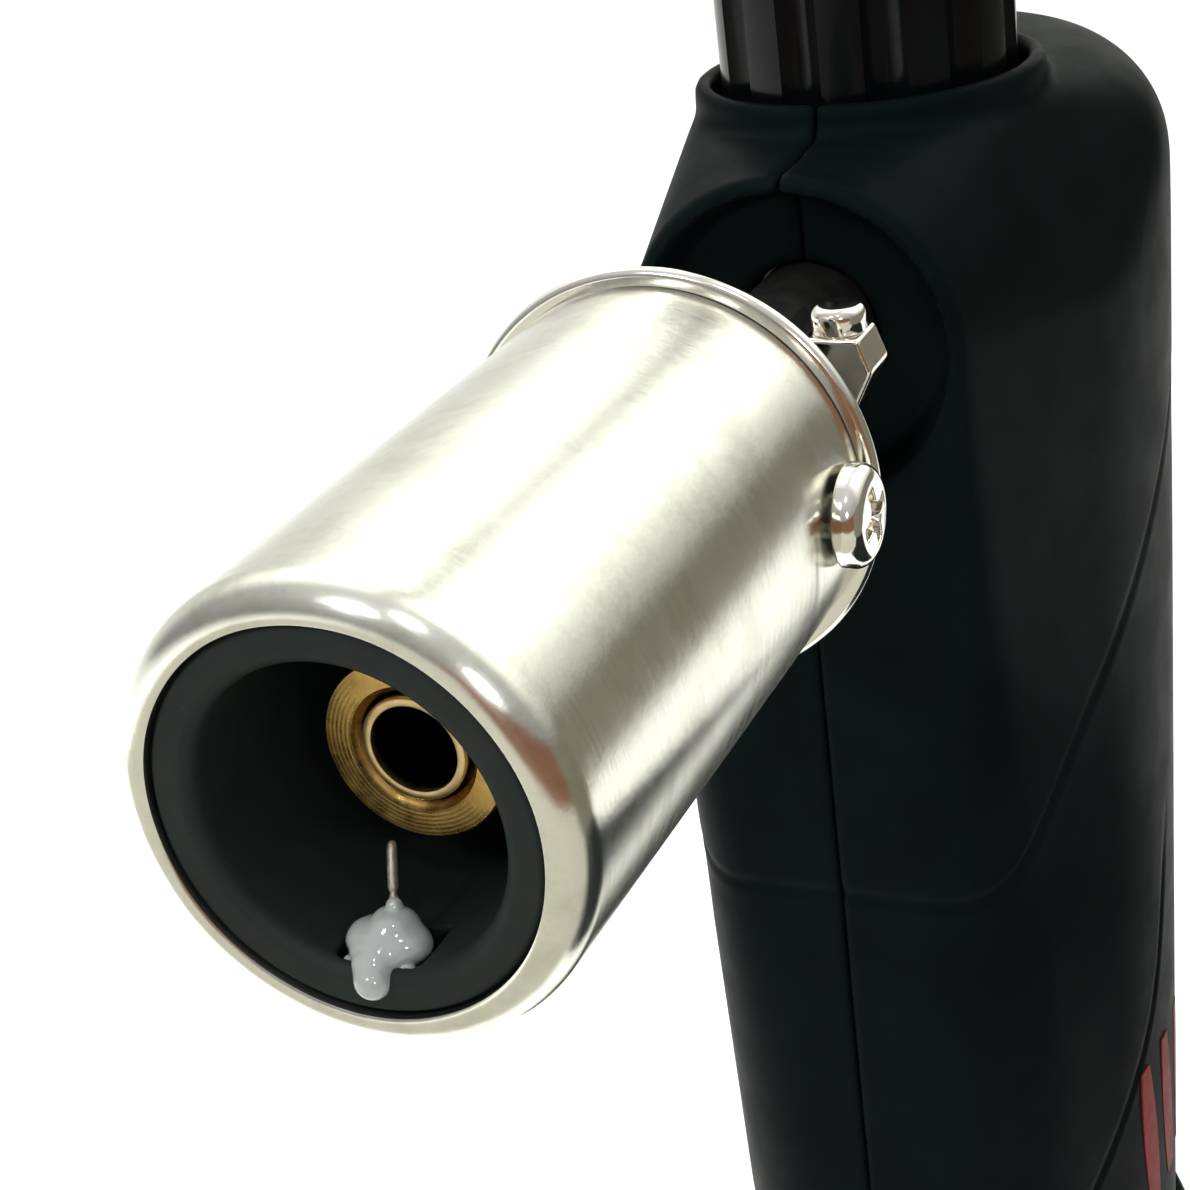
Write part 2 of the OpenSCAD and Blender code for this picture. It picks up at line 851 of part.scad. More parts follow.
barrel_shroud();
rear_ring();
shroud_liner();
burner_head();
inner_tube();
burner_hub();
shroud_screws();
mixing_tube();
air_collar();
air_lever_stud();
gas_jet();
jet_filter();
jet_holder();
electrode_wire();
electrode_insulator();
electrode_sealant();
ignition_lead();
housing_left();
housing_right();
housing_screws();
valve_block();
valve_needle();
gland_nut();
gland_o_ring();
knob_shaft();
friction_washer();
flow_knob();
knob_screw();
knob_cap();
gas_pipe();
pipe_nuts();
fuel_tank();
tank_lid();
fill_valve_body();
fill_valve_stem();
fill_valve_seal();
fill_valve_spring();
piezo_case();
piezo_terminal();
piezo_plunger();
trigger();
trigger_spring();
base_foot();
foot_sole();
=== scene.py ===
import math

import bmesh
import bpy
import numpy as np
from mathutils import Matrix, Vector


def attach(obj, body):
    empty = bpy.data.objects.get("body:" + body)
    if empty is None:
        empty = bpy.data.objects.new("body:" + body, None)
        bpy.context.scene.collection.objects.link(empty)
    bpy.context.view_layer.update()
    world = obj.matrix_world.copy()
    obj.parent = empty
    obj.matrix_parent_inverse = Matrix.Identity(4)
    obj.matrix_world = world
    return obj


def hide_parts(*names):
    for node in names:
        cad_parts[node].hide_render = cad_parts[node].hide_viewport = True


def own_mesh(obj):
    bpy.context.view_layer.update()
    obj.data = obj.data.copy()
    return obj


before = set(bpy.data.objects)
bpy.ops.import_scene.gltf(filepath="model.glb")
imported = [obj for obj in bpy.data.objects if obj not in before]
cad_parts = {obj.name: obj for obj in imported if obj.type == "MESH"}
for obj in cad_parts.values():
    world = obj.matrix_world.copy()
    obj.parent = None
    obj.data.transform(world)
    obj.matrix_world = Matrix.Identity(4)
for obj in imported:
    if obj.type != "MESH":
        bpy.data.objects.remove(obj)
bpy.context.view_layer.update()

# All sizes below are in millimetres in the CAD frame, and place() turns them into metres.
MM = 0.001
REACH = 86.0            # the mouth's distance in front of the origin
AXIS = 112.0            # height of the nozzle's axis
BARREL_R, BARREL_BORE, BARREL_END = 12.0, 11.3, 39.0
LIP_R, SHEET = 1.8, 0.7
LINER_R, LINER_BORE, LINER_END = 11.2, 7.83, 32.0
HEAD_FACE, HEAD_R, HEAD_END = 7.3, 4.7, 30.0
TUBE_R, TUBE_BORE, TUBE_END = 2.72, 2.25, 20.0
WIRE_R, WIRE_DROP = 0.25, 9.2
SCREW_Z = 36.0          # the barrel's screws, behind the mouth
COLLAR_FRONT, COLLAR_BACK, COLLAR_R, COLLAR_BORE = 42.3, 49.3, 5.0, 3.66
RECESS_FACE, RECESS_FLOOR, RECESS_R = 61.0, 65.0, 10.7
KNOB_Y, KNOB_R, KNOB_FOOT, KNOB_TOP, FLUTES = -4.0, 10.4, 122.8, 144.0, 11
GRIP_FRONT, GRIP_BACK, GRIP_LOW, WALL = 25.0, 22.0, 10.2, 2.2
HOUSING_SCREWS = ((-15, 84), (14, 80), (12.5, 116))
TRIGGER_FACE, TRIGGER_Z, TRIGGER_HALF = 16.5, 97.0, 11.0
FOOT_X, FOOT_Y, FOOT_BACK, SOLE = 25.0, 32.0, -3.0, 1.4


def ease(a, b, x):
    """0 below a, 1 above b, and a smooth step between them."""
    t = np.clip((x - a) / (b - a), 0, 1)
    return t * t * (3 - 2 * t)


# ---------------------------------------------------------------- mesh building

def new_obj(name, verts, faces):
    me = bpy.data.meshes.new(name)
    me.from_pydata([tuple(float(c) for c in v) for v in verts], [], faces)
    me.update()
    ob = bpy.data.objects.new(name, me)
    bpy.context.scene.collection.objects.link(ob)
    bm = bmesh.new()
    bm.from_mesh(me)
    bmesh.ops.recalc_face_normals(bm, faces=bm.faces)
    bm.to_mesh(me)
    bm.free()
    return ob


def place_map(kind):
    """How local points become global ones: along the nozzle, about the knob's axis, or as they are."""
    if kind == "nozzle":
        return lambda v: (v[0], v[2] - REACH, AXIS - v[1])
    if kind == "knob":
        return lambda v: (v[0], v[1] + KNOB_Y, v[2])
    return lambda v: v


def moved(ob, fn):
    co = np.empty(len(ob.data.vertices) * 3)
    ob.data.vertices.foreach_get("co", co)
    co = np.array([fn(v) for v in co.reshape(-1, 3)], float)
    ob.data.vertices.foreach_set("co", co.ravel())
    ob.data.update()
    return ob


def lathe(name, profile, sides=192, kind=None, closed=True, warp=None):
    """A closed profile of (r, z) points turned about local z. A point on the axis becomes a single vertex."""
    verts, rows, faces = [], [], []
    for r, z in profile:
        if r < 1e-6:
            rows.append([len(verts)])
            verts.append((0, 0, z))
        else:
            rows.append(list(range(len(verts), len(verts) + sides)))
            for k in range(sides):
                a = 2 * math.pi * k / sides
                verts.append((r * math.cos(a), r * math.sin(a), z))
    n = len(rows)
    for i in range(n if closed else n - 1):
        a, b = rows[i], rows[(i + 1) % n]
        if len(a) == 1 and len(b) == 1:
            continue
        for k in range(sides):
            m = (k + 1) % sides
            if len(a) == 1:
                faces.append((a[0], b[m], b[k]))
            elif len(b) == 1:
                faces.append((a[k], a[m], b[0]))
            else:
                faces.append((a[k], a[m], b[m], b[k]))
    if warp:
        verts = [warp(v) for v in verts]
    f = place_map(kind)
    return new_obj(name, [f(v) for v in verts], faces)


def arc(cr, cz, r, a0, a1, n=8):
    """Points of an arc in the (r, z) plane, angles in degrees from +r towards +z."""
    return [
        (cr + r * math.cos(math.radians(a0 + (a1 - a0) * i / n)),
            cz + r * math.sin(math.radians(a0 + (a1 - a0) * i / n)))
        for i in range(n + 1)
    ]


def bar(r0, r1, z0, z1, sides=96, kind=None):
    return lathe("bar", [(0, z0), (r0, z0), (r1, z1), (0, z1)], sides, kind, closed=False)


def cross_bar(r, x0, x1, y, z, sides=64):
    ob = bar(r, r, x0, x1, sides)
    return moved(ob, lambda v: (v[2], y + v[0], z + v[1]))


def prism(outline, z0, z1, fn=lambda v: v):
    n = len(outline)
    verts = [fn((x, y, z0)) for x, y in outline] + [fn((x, y, z1)) for x, y in outline]
    faces = [tuple(range(n)), tuple(range(2 * n - 1, n - 1, -1))]
    faces += [(i, (i + 1) % n, n + (i + 1) % n, n + i) for i in range(n)]
    return new_obj("prism", verts, faces)


def box(x0, x1, y0, y1, z0, z1):
    return prism([(x0, y0), (x1, y0), (x1, y1), (x0, y1)], z0, z1)


def ball(c, r, sides=32):
    n = sides // 2
    prof = [(r * math.sin(math.pi * i / n), -r * math.cos(math.pi * i / n)) for i in range(n + 1)]
    prof[0], prof[-1] = (0, -r), (0, r)
    ob = lathe("ball", prof, sides, closed=False)
    return moved(ob, lambda v: (v[0] + c[0], v[1] + c[1], v[2] + c[2]))


def hull(points):
    bm = bmesh.new()
    for p in points:
        bm.verts.new(p)
    got = bmesh.ops.convex_hull(bm, input=bm.verts)
    bmesh.ops.delete(bm, geom=list({v for v in got["geom_interior"] + got["geom_unused"] if isinstance(v,
        bmesh.types.BMVert)}), context="VERTS")
    me = bpy.data.meshes.new("hull")
    bm.to_mesh(me)
    bm.free()
    ob = bpy.data.objects.new("hull", me)
    bpy.context.scene.collection.objects.link(ob)
    return ob


def drop(ob):
    me = ob.data
    bpy.data.objects.remove(ob)
    if me.users == 0:
        bpy.data.meshes.remove(me)


def bake(ob):
    """The object's modifiers become its mesh."""
    dg = bpy.context.evaluated_depsgraph_get()
    me = bpy.data.meshes.new_from_object(ob.evaluated_get(dg))
    old = ob.data
    ob.modifiers.clear()
    ob.data = me
    if old.users == 0:
        bpy.data.meshes.remove(old)
    return ob


def boolean(ob, others, op="DIFFERENCE", solver="EXACT"):
    """Cuts, joins or intersects with each of the others, which are used up."""
    for o in others:
        m = ob.modifiers.new("boolean", "BOOLEAN")
        m.operation = op
        m.solver = solver
        m.object = o
        bake(ob)
        drop(o)
    return ob


def joined(obs):
    bm = bmesh.new()
    for o in obs:
        bm.from_mesh(o.data)
    me = bpy.data.meshes.new("joined")
    bm.to_mesh(me)
    bm.free()
    for o in obs:
        drop(o)
    ob = bpy.data.objects.new("joined", me)
    bpy.context.scene.collection.objects.link(ob)
    return ob


def soften(ob, voxel, rounds):
    """Remeshed evenly and smoothed, so that every edge gets a moulded radius."""
    m = ob.modifiers.new("remesh", "REMESH")
    m.mode = "VOXEL"
    m.voxel_size = voxel
    m.use_smooth_shade = True
    bake(ob)
    if rounds:
        m = ob.modifiers.new("smooth", "SMOOTH")
        m.factor = 0.5
        m.iterations = rounds
        bake(ob)
    return ob


def vertices(ob):
    co = np.empty(len(ob.data.vertices) * 3)
    ob.data.vertices.foreach_get("co", co)
    no = np.empty(len(ob.data.vertices) * 3)
    ob.data.vertices.foreach_get("normal", no)
    return co.reshape(-1, 3), no.reshape(-1, 3)


def set_vertices(ob, co):
    ob.data.vertices.foreach_set("co", co.ravel())
    ob.data.update()


def tube(name, points, r, sides=16, kind=None, close=False, radii=None):
    """A round cord through points, with round ends."""
    p = np.array(points, float)
    n = len(p)
    t = np.roll(p, -1, 0) - np.roll(p, 1, 0) if close else np.gradient(p, axis=0)
    t /= np.linalg.norm(t, axis=1)[:, None]
    u = np.cross(t[0], (0.3, 0.2, 0.93))
    u /= np.linalg.norm(u)
    rings = []
    for i in range(n):
        u = u - t[i] * (u @ t[i])
        u /= np.linalg.norm(u)
        rings.append((p[i], u.copy(), np.cross(t[i], u), t[i], r if radii is None else radii[i]))
    if not close:
        caps = []
        for end, (c, a, b, d, q) in ((-1, rings[0]), (1, rings[-1])):
            caps.append([(c + d * end * q * math.sin(math.radians(w)), a, b, d,
                q * math.cos(math.radians(w))) for w in (30, 60, 80)])
        rings = caps[0][::-1] + rings + caps[1]
    verts, faces = [], []
    for c, a, b, d, q in rings:
        for k in range(sides):
            w = 2 * math.pi * k / sides
            verts.append(c + q * (math.cos(w) * a + math.sin(w) * b))
    m = len(rings)
    for i in range(m if close else m - 1):
        for k in range(sides):
            j, l = (i + 1) % m, (k + 1) % sides
            faces.append((i * sides + k, i * sides + l, j * sides + l, j * sides + k))
    if not close:
        faces += [tuple(range(sides)), tuple(range(m * sides - 1, (m - 1) * sides - 1, -1))]
    f = place_map(kind)
    return new_obj(name, [f(v) for v in verts], faces)


def smooth_path(points, per=8):
    """Catmull-Rom points through the given ones."""
    p = [np.array(q, float) for q in points]
    p = [2 * p[0] - p[1]] + p + [2 * p[-1] - p[-2]]
    out = []
    for i in range(1, len(p) - 2):
        for k in range(per):
            s = k / per
            out.append(0.5 * (2 * p[i] + (p[i + 1] - p[i - 1]) * s
                              + (2 * p[i - 1] - 5 * p[i] + 4 * p[i + 1] - p[i + 2]) * s * s
                              + (3 * p[i] - p[i - 1] - 3 * p[i + 1] + p[i + 2]) * s ** 3))
    out.append(p[-2])
    return out


def place(ob, name, body, mat, node=(), angle=35):
    """Names the finished piece, brings it to metres, gives it its material and lets it ride."""
    ob.name = name
    ob.data.name = name
    ob.data.transform(Matrix.Scale(MM, 4))
    me = ob.data
    me.polygons.foreach_set("use_smooth", [True] * len(me.polygons))
    me.set_sharp_from_angle(angle=math.radians(angle))
    me.materials.clear()
    me.materials.append(mat)
    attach(ob, body)
    nodes = (node,) if isinstance(node, str) else node
    if nodes:
        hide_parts(*nodes)
    return ob


# ---------------------------------------------------------------- materials

def nodes_of(mat):
    nt = mat.node_tree
    return nt, nt.nodes["Principled BSDF"]


def noise(nt, coord, scale, detail=4, rough=0.55, stretch=None, distortion=0):
    """Noise over the object, which stretch can draw out along an axis."""
    if stretch:
        m = nt.nodes.new("ShaderNodeMapping")
        m.inputs["Scale"].default_value = stretch
        nt.links.new(coord, m.inputs["Vector"])
        coord = m.outputs["Vector"]
    n = nt.nodes.new("ShaderNodeTexNoise")
    n.inputs["Scale"].default_value = scale
    n.inputs["Detail"].default_value = detail
    n.inputs["Roughness"].default_value = rough
    n.inputs["Distortion"].default_value = distortion
    nt.links.new(coord, n.inputs["Vector"])
    return n.outputs["Fac"]


def ramp(nt, fac, stops):
    """Colours along a value, from (position, colour) stops."""
    r = nt.nodes.new("ShaderNodeValToRGB")
    while len(r.color_ramp.elements) < len(stops):
        r.color_ramp.elements.new(0.5)
    for e, (pos, c) in zip(r.color_ramp.elements, stops):
        e.position = pos
        e.color = (*c, 1) if len(c) == 3 else c
    nt.links.new(fac, r.inputs["Fac"])
    return r.outputs["Color"]


def spread(nt, fac, lo, hi, frm=(0.3, 0.7)):
    """A value stretched from its usual band to another one."""
    m = nt.nodes.new("ShaderNodeMapRange")
    m.inputs["From Min"].default_value, m.inputs["From Max"].default_value = frm
    m.inputs["To Min"].default_value, m.inputs["To Max"].default_value = lo, hi
    nt.links.new(fac, m.inputs["Value"])
    return m.outputs["Result"]


def bump(nt, height, strength, distance, before=None):
    """A bump, on top of an earlier one where there is one."""
    b = nt.nodes.new("ShaderNodeBump")
    b.inputs["Strength"].default_value = strength
    b.inputs["Distance"].default_value = distance
    nt.links.new(height, b.inputs["Height"])
    if before:
        nt.links.new(before, b.inputs["Normal"])
    return b.outputs["Normal"]


def mixed(nt, factor, first, second, blend="MIX"):
    """Two colours mixed. Each of the three inputs is a socket or a fixed value."""
    mix = nt.nodes.new("ShaderNodeMix")
    mix.data_type = "RGBA"
    mix.blend_type = blend
    for socket, value in ((mix.inputs[0], factor), (mix.inputs[6], first), (mix.inputs[7], second)):
        if isinstance(value, bpy.types.NodeSocket):
            nt.links.new(value, socket)
        else:
            socket.default_value = value
    return mix.outputs[2]


def surface(name, color, rough, metallic=0.0, mottle=(250, 0.12), rough_var=(700, 0.06),
        grain=(5000, 0.12, 0.00002),
            stretch=None, coat=0.0, specular=0.5, ior=1.5, aniso=0.0, aniso_turn=0.0, tangent=None,
            transmission=0.0,
            subsurface=0.0, ss_radius=(0.002, 0.002, 0.002)):
    mat = bpy.data.materials.new(name)
    mat.use_nodes = True
    nt, bsdf = nodes_of(mat)
    tc = nt.nodes.new("ShaderNodeTexCoord").outputs["Object"]
    bsdf.inputs["Metallic"].default_value = metallic
    bsdf.inputs["IOR"].default_value = ior
    bsdf.inputs["Specular IOR Level"].default_value = specular
    bsdf.inputs["Coat Weight"].default_value = coat
    bsdf.inputs["Coat Roughness"].default_value = 0.08
    bsdf.inputs["Anisotropic"].default_value = aniso
    bsdf.inputs["Anisotropic Rotation"].default_value = aniso_turn
    bsdf.inputs["Transmission Weight"].default_value = transmission
    bsdf.inputs["Subsurface Weight"].default_value = subsurface
    bsdf.inputs["Subsurface Radius"].default_value = ss_radius
    bsdf.inputs["Subsurface Scale"].default_value = 1.0
    c = np.array(color)
    n1 = noise(nt, tc, mottle[0], 5)
    lo, hi = np.clip(c * (1 - mottle[1]), 0, 1), np.clip(c * (1 + mottle[1]), 0, 1)
    nt.links.new(ramp(nt, n1, [(0.3, tuple(lo)), (0.7, tuple(hi))]), bsdf.inputs["Base Color"])
    n2 = noise(nt, tc, rough_var[0], 6, stretch=stretch)
    nt.links.new(spread(nt, n2, max(rough - rough_var[1], 0.02), min(rough + rough_var[1], 1)),
        bsdf.inputs["Roughness"])
    n3 = noise(nt, tc, grain[0], 3, stretch=stretch)
    nt.links.new(bump(nt, n3, grain[1], grain[2]), bsdf.inputs["Normal"])
    if tangent:
        t = nt.nodes.new("ShaderNodeTangent")
        t.direction_type = "RADIAL"
        t.axis = tangent
        nt.links.new(t.outputs["Tangent"], bsdf.inputs["Tangent"])
    return mat


def barrel_material():
    """Stainless sheet turned on a lathe: fine scratches run round it, with a few longer marks."""
    mat = surface("barrel_brushed", (0.80, 0.80, 0.715), 0.19, 1.0, mottle=(90, 0.05), rough_var=(9, 0.04),
                  grain=(14, 0.08, 0.00002), stretch=(5, 700, 5), aniso=0.75, aniso_turn=0.25, tangent="Y")
    nt, bsdf = nodes_of(mat)
    tc = nt.nodes.new("ShaderNodeTexCoord").outputs["Object"]
    scratches = noise(nt, tc, 30, 5, 0.7, stretch=(7, 260, 7), distortion=0.2)
    marks = noise(nt, tc, 900, 8, 0.75)
    old = bsdf.inputs["Normal"].links[0].from_socket
    a = bump(nt, scratches, 0.14, 0.00002, old)
    a = bump(nt, marks, 0.16, 0.00005, a)
    dents = noise(nt, tc, 330, 4, 0.6, stretch=(1, 0.7, 1))
    nt.links.new(bump(nt, dents, 0.10, 0.00016, a), bsdf.inputs["Normal"])
    stain = ramp(nt, noise(nt, tc, 240, 7, 0.7), [(0.40, (0.62, 0.58, 0.50)), (0.52, (1, 1, 1))])
    base = bsdf.inputs["Base Color"].links[0].from_socket
    nt.links.new(mixed(nt, 0.30, base, stain, "MULTIPLY"), bsdf.inputs["Base Color"])
    return mat


def brass_material():
    """Turned brass: concentric tool marks, duller and browner in patches."""
    mat = surface("brass_turned", (0.62, 0.41, 0.13), 0.30, 1.0, mottle=(900, 0.25), rough_var=(1500, 0.08),
        grain=(6000, 0.08, 0.00001))
    nt, bsdf = nodes_of(mat)
    tc = nt.nodes.new("ShaderNodeTexCoord").outputs["Object"]
    shift = nt.nodes.new("ShaderNodeMapping")
    shift.inputs["Location"].default_value = (0, 0, -AXIS * MM)
    nt.links.new(tc, shift.inputs["Vector"])
    flat = nt.nodes.new("ShaderNodeMapping")
    flat.inputs["Scale"].default_value = (1, 0.02, 1)
    nt.links.new(shift.outputs["Vector"], flat.inputs["Vector"])
    rings = nt.nodes.new("ShaderNodeTexWave")
    rings.wave_type = "RINGS"
    rings.rings_direction = "SPHERICAL"
    rings.inputs["Scale"].default_value = 1500
    rings.inputs["Distortion"].default_value = 0.6
    rings.inputs["Detail"].default_value = 2
    nt.links.new(flat.outputs["Vector"], rings.inputs["Vector"])
    old = bsdf.inputs["Normal"].links[0].from_socket
    nt.links.new(bump(nt, rings.outputs["Fac"], 0.18, 0.00002, old), bsdf.inputs["Normal"])
    return mat


def rim_material():
    """Bright brass on the end face of the inner tube, and painted shade on the brass behind it, in the gap
    inside the nose and down the bore.
    """
    mat = surface("brass_rim", (0.86, 0.64, 0.33), 0.36, 1.0, mottle=(900, 0.15), rough_var=(2000, 0.06),
        grain=(6000, 0.05, 0.00001))
    nt, bsdf = nodes_of(mat)
    tc = nt.nodes.new("ShaderNodeTexCoord").outputs["Object"]
    sep = nt.nodes.new("ShaderNodeSeparateXYZ")
    nt.links.new(tc, sep.inputs[0])
    depth = nt.nodes.new("ShaderNodeMapRange")
    depth.inputs["From Min"].default_value = (HEAD_FACE + 0.12 - REACH) * MM
    depth.inputs["From Max"].default_value = (HEAD_FACE + 0.5 - REACH) * MM
    nt.links.new(sep.outputs["Y"], depth.inputs["Value"])
    base = bsdf.inputs["Base Color"].links[0].from_socket
    # Painted shade: all brass behind the end face, where the gap and the bore fall into shade, is mixed towards
    # near black.
    dark = mixed(nt, depth.outputs["Result"], base, (0.030, 0.016, 0.009, 1))
    nt.links.new(dark, bsdf.inputs["Base Color"])
    return mat


def liner_material():
    """Dark matt moulding with a little pale dust."""
    mat = surface("liner_dark", (0.0075, 0.0115, 0.0105), 0.60, mottle=(300, 0.15), rough_var=(500, 0.06),
        grain=(7000, 0.10, 0.00002), specular=0.20)
    nt, bsdf = nodes_of(mat)
    tc = nt.nodes.new("ShaderNodeTexCoord").outputs["Object"]
    dust = noise(nt, tc, 2600, 6, 0.8)
    spots = ramp(nt, dust, [(0.66, (0, 0, 0)), (0.74, (1, 1, 1))])
    base = bsdf.inputs["Base Color"].links[0].from_socket
    nt.links.new(mixed(nt, spots, base, (0.07, 0.074, 0.07, 1)), bsdf.inputs["Base Color"])
    return mat


M = {
    "barrel": barrel_material(),
    "bead": surface("bead_bright", (0.86, 0.84, 0.76), 0.14, 1.0, mottle=(300, 0.06), rough_var=(900, 0.05),
        grain=(3000, 0.06, 0.00002)),
    "liner": liner_material(),
    "brass": brass_material(),
    "brass_rim": rim_material(),
    "nickel": surface("nickel_plate", (0.88, 0.85, 0.78), 0.11, 1.0, mottle=(400, 0.06),
        rough_var=(900, 0.05), grain=(900, 0.10, 0.00004)),
    "steel": surface("plain_steel", (0.62, 0.61, 0.58), 0.28, 1.0, mottle=(500, 0.10),
        rough_var=(1500, 0.08), grain=(4000, 0.08, 0.00002)),
    "zinc": surface("cast_alloy", (0.50, 0.50, 0.48), 0.46, 1.0, mottle=(500, 0.12), rough_var=(900, 0.08),
        grain=(2500, 0.30, 0.00004)),
    "wire": surface("igniter_wire", (0.34, 0.30, 0.25), 0.42, 0.8, mottle=(2500, 0.30),
        rough_var=(2500, 0.12), grain=(6000, 0.25, 0.00002)),
    "dark_metal": surface("blackened_metal", (0.030, 0.030, 0.028), 0.42, 0.7, mottle=(600, 0.25),
        rough_var=(900, 0.08), grain=(4000, 0.12, 0.00002)),
    "ceramic": surface("grey_ceramic", (0.030, 0.031, 0.030), 0.35, mottle=(600, 0.05),
        rough_var=(900, 0.05), grain=(5000, 0.08, 0.00002), coat=0.2),
    "silicone": surface("clear_silicone", (0.42, 0.45, 0.44), 0.06, mottle=(700, 0.07),
        rough_var=(1200, 0.03), grain=(900, 0.06, 0.00003),
                        ior=1.42, transmission=0.42, subsurface=0.2, ss_radius=(0.001, 0.001,
                        0.001), coat=1.0),
    "lead": surface("lead_silicone", (0.42, 0.05, 0.04), 0.42, mottle=(700, 0.12),
        grain=(4000, 0.12, 0.00002)),
    "housing": surface("housing_black", (0.0024, 0.0042, 0.0043), 0.44, mottle=(120, 0.22),
        rough_var=(260, 0.05), grain=(5200, 0.12, 0.00003), specular=0.018),
    "knob": surface("knob_black", (0.0016, 0.0021, 0.0025), 0.19, mottle=(150, 0.20), rough_var=(400, 0.05),
        grain=(2600, 0.04, 0.00002), specular=0.15),
    "trigger": surface("trigger_black", (0.0045, 0.0060, 0.0068), 0.38, mottle=(200, 0.18),
        rough_var=(400, 0.05), grain=(4200, 0.12, 0.00003), specular=0.25),
    "tank": surface("tank_grey", (0.21, 0.23, 0.25), 0.42, mottle=(200, 0.10), grain=(3000, 0.12, 0.00003)),
    "seal": surface("seal_black", (0.020, 0.020, 0.020), 0.50, mottle=(600, 0.20),
        grain=(4000, 0.15, 0.00002)),
    "spring": surface("spring_wire", (0.55, 0.55, 0.53), 0.22, 1.0, mottle=(900, 0.10),
        grain=(5000, 0.08, 0.00001)),
    "nylon": surface("natural_nylon", (0.76, 0.74, 0.68), 0.45, mottle=(500, 0.05),
        grain=(3000, 0.08, 0.00002), subsurface=0.1),
    "case": surface("igniter_case", (0.035, 0.040, 0.046), 0.40, mottle=(300, 0.15),
        grain=(3000, 0.12, 0.00002)),
    "plunger": surface("igniter_plunger", (0.70, 0.64, 0.54), 0.38, mottle=(400, 0.06),
        grain=(3000, 0.08, 0.00002)),
    "bronze": surface("sintered_bronze", (0.40, 0.31, 0.18), 0.55, 1.0, mottle=(3000, 0.35),
        grain=(6000, 0.60, 0.00006)),
    "sole": surface("sole_rubber", (0.015, 0.016, 0.017), 0.72, mottle=(300, 0.20),
        grain=(2500, 0.35, 0.00004)),
    "accent": surface("accent_red", (0.15, 0.012, 0.009), 0.50, mottle=(400, 0.15),
        grain=(3000, 0.10, 0.00002), specular=0.12),
}

M["housing"].node_tree.nodes["Principled BSDF"].inputs["Specular Tint"].default_value = (0.55, 0.95, 1.0, 1)

# The CAD nodes that stay as they are, by the look that each one gets.
CAD_LOOKS = {
    "zinc": ("burner_hub", "valve_block"),
    "brass": ("mixing_tube", "gas_jet", "valve_needle", "gland_nut", "gas_pipe", "pipe_nuts", "fill_valve_body",
              "piezo_terminal"),
    "bronze": ("jet_filter",),
    "dark_metal": ("jet_holder",),
    "ceramic": ("electrode_insulator",),
    "seal": ("gland_o_ring", "fill_valve_seal"),
    "steel": ("knob_shaft", "fill_valve_stem"),
    "nylon": ("friction_washer",),
    "nickel": ("knob_screw",),
    "tank": ("fuel_tank", "tank_lid"),
    "case": ("piezo_case",),
    "plunger": ("piezo_plunger",),
    "lead": ("ignition_lead",),
}
for look, cad_nodes in CAD_LOOKS.items():
    for node in cad_nodes:
        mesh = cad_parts[node].data
        if not mesh.materials:
            mesh.materials.append(M[look])
        for i in range(len(mesh.materials)):
            mesh.materials[i] = M[look]

# ---------------------------------------------------------------- barrel and its rear bead


def sheet_marks(v):
    """The sheet is drawn in a little round each screw, and the lip is not perfectly even."""
    x, y, z = v
    r = math.hypot(x, y)
    if r < 8:
        return v
    dent = 0.0
    for side in (1, -1):
        a = math.atan2(y, side * x)
        d2 = (a * 12) ** 2 + (z - SCREW_Z + 2.6) ** 2
        dent += 0.34 * math.exp(-d2 / 5.0)
        dent += 0.10 * math.exp(-((z - SCREW_Z + 4.4) / 0.35) ** 2 - (a * 12 / 2.6) ** 2)
    th = math.atan2(y, x)
    wave = 0.025 * math.sin(3 * th + 0.7) + 0.015 * math.sin(7 * th)
    k = (r - dent - wave * math.exp(-z / 6)) / r
    return (x * k, y * k, z)


LIP_AT = BARREL_R - LIP_R
outer = arc(LIP_AT, LIP_R, LIP_R, -96, 0, 16)
inner = arc(LIP_AT, LIP_R, LIP_R - SHEET, 0, -90, 8)
profile = [(10.03, 0.62), (10.0, 0.35), (10.03, 0.1)] + outer[1:] + [(BARREL_R,
    LIP_R + 36.2 * i / 72) for i in range(1, 73)]
profile += [(BARREL_R, BARREL_END - 0.2), (BARREL_R - 0.1, BARREL_END), (BARREL_BORE + 0.1, BARREL_END)]
profile += [(BARREL_BORE, BARREL_END - 0.2)] + [(BARREL_BORE, 38 - 36.2 * i / 36) for i in range(36)] + inner
barrel = lathe("barrel", profile, 256, "nozzle", warp=sheet_marks)
place(barrel, "barrel", "torch", M["barrel"], "barrel_shroud", 50)

bead = [(12.42, 39.1)] + arc(12.425, 39.565, 0.465, -90, 90, 12) + [(11.6, 40.03), (10.6, 40.03),
    (10.6, 39.1)]
place(lathe("rear_bead", bead, 256, "nozzle"), "rear_bead", "torch", M["bead"], "rear_ring",
    40)

# ---------------------------------------------------------------- liner

profile = [(9.72, 0.3), (9.86, 0.42), (9.9, 0.62), (9.9, 0.86)] + arc(10.2, 1.8, 1.0, -70, 0,
    8) + [(LINER_R, LINER_END - 0.2), (LINER_R - 0.2, LINER_END), (8.0, LINER_END), (LINER_BORE,
        LINER_END - 0.2)]
profile += [(LINER_BORE, LINER_END - 0.2 - 30.7 * i / 40) for i in range(1, 41)] + [(7.9, 0.8), (8.1, 0.52),
    (8.42, 0.3)]
liner = lathe("liner", profile, 160, "nozzle")
f = place_map("nozzle")
notch = [moved(bar(2.45, 2.45, 1.1, 4.4, 64), lambda v: (v[0], v[1] + 8.4, v[2])),
    moved(bar(1.06, 1.06, 2.1, 33, 32), lambda v: (v[0], v[1] + WIRE_DROP, v[2]))]
boolean(liner, [moved(n, f) for n in notch])
soften(liner, 0.17, 4)
place(liner, "liner", "torch", M["liner"], "shroud_liner", 60)

# ---------------------------------------------------------------- burner head and its inner tube

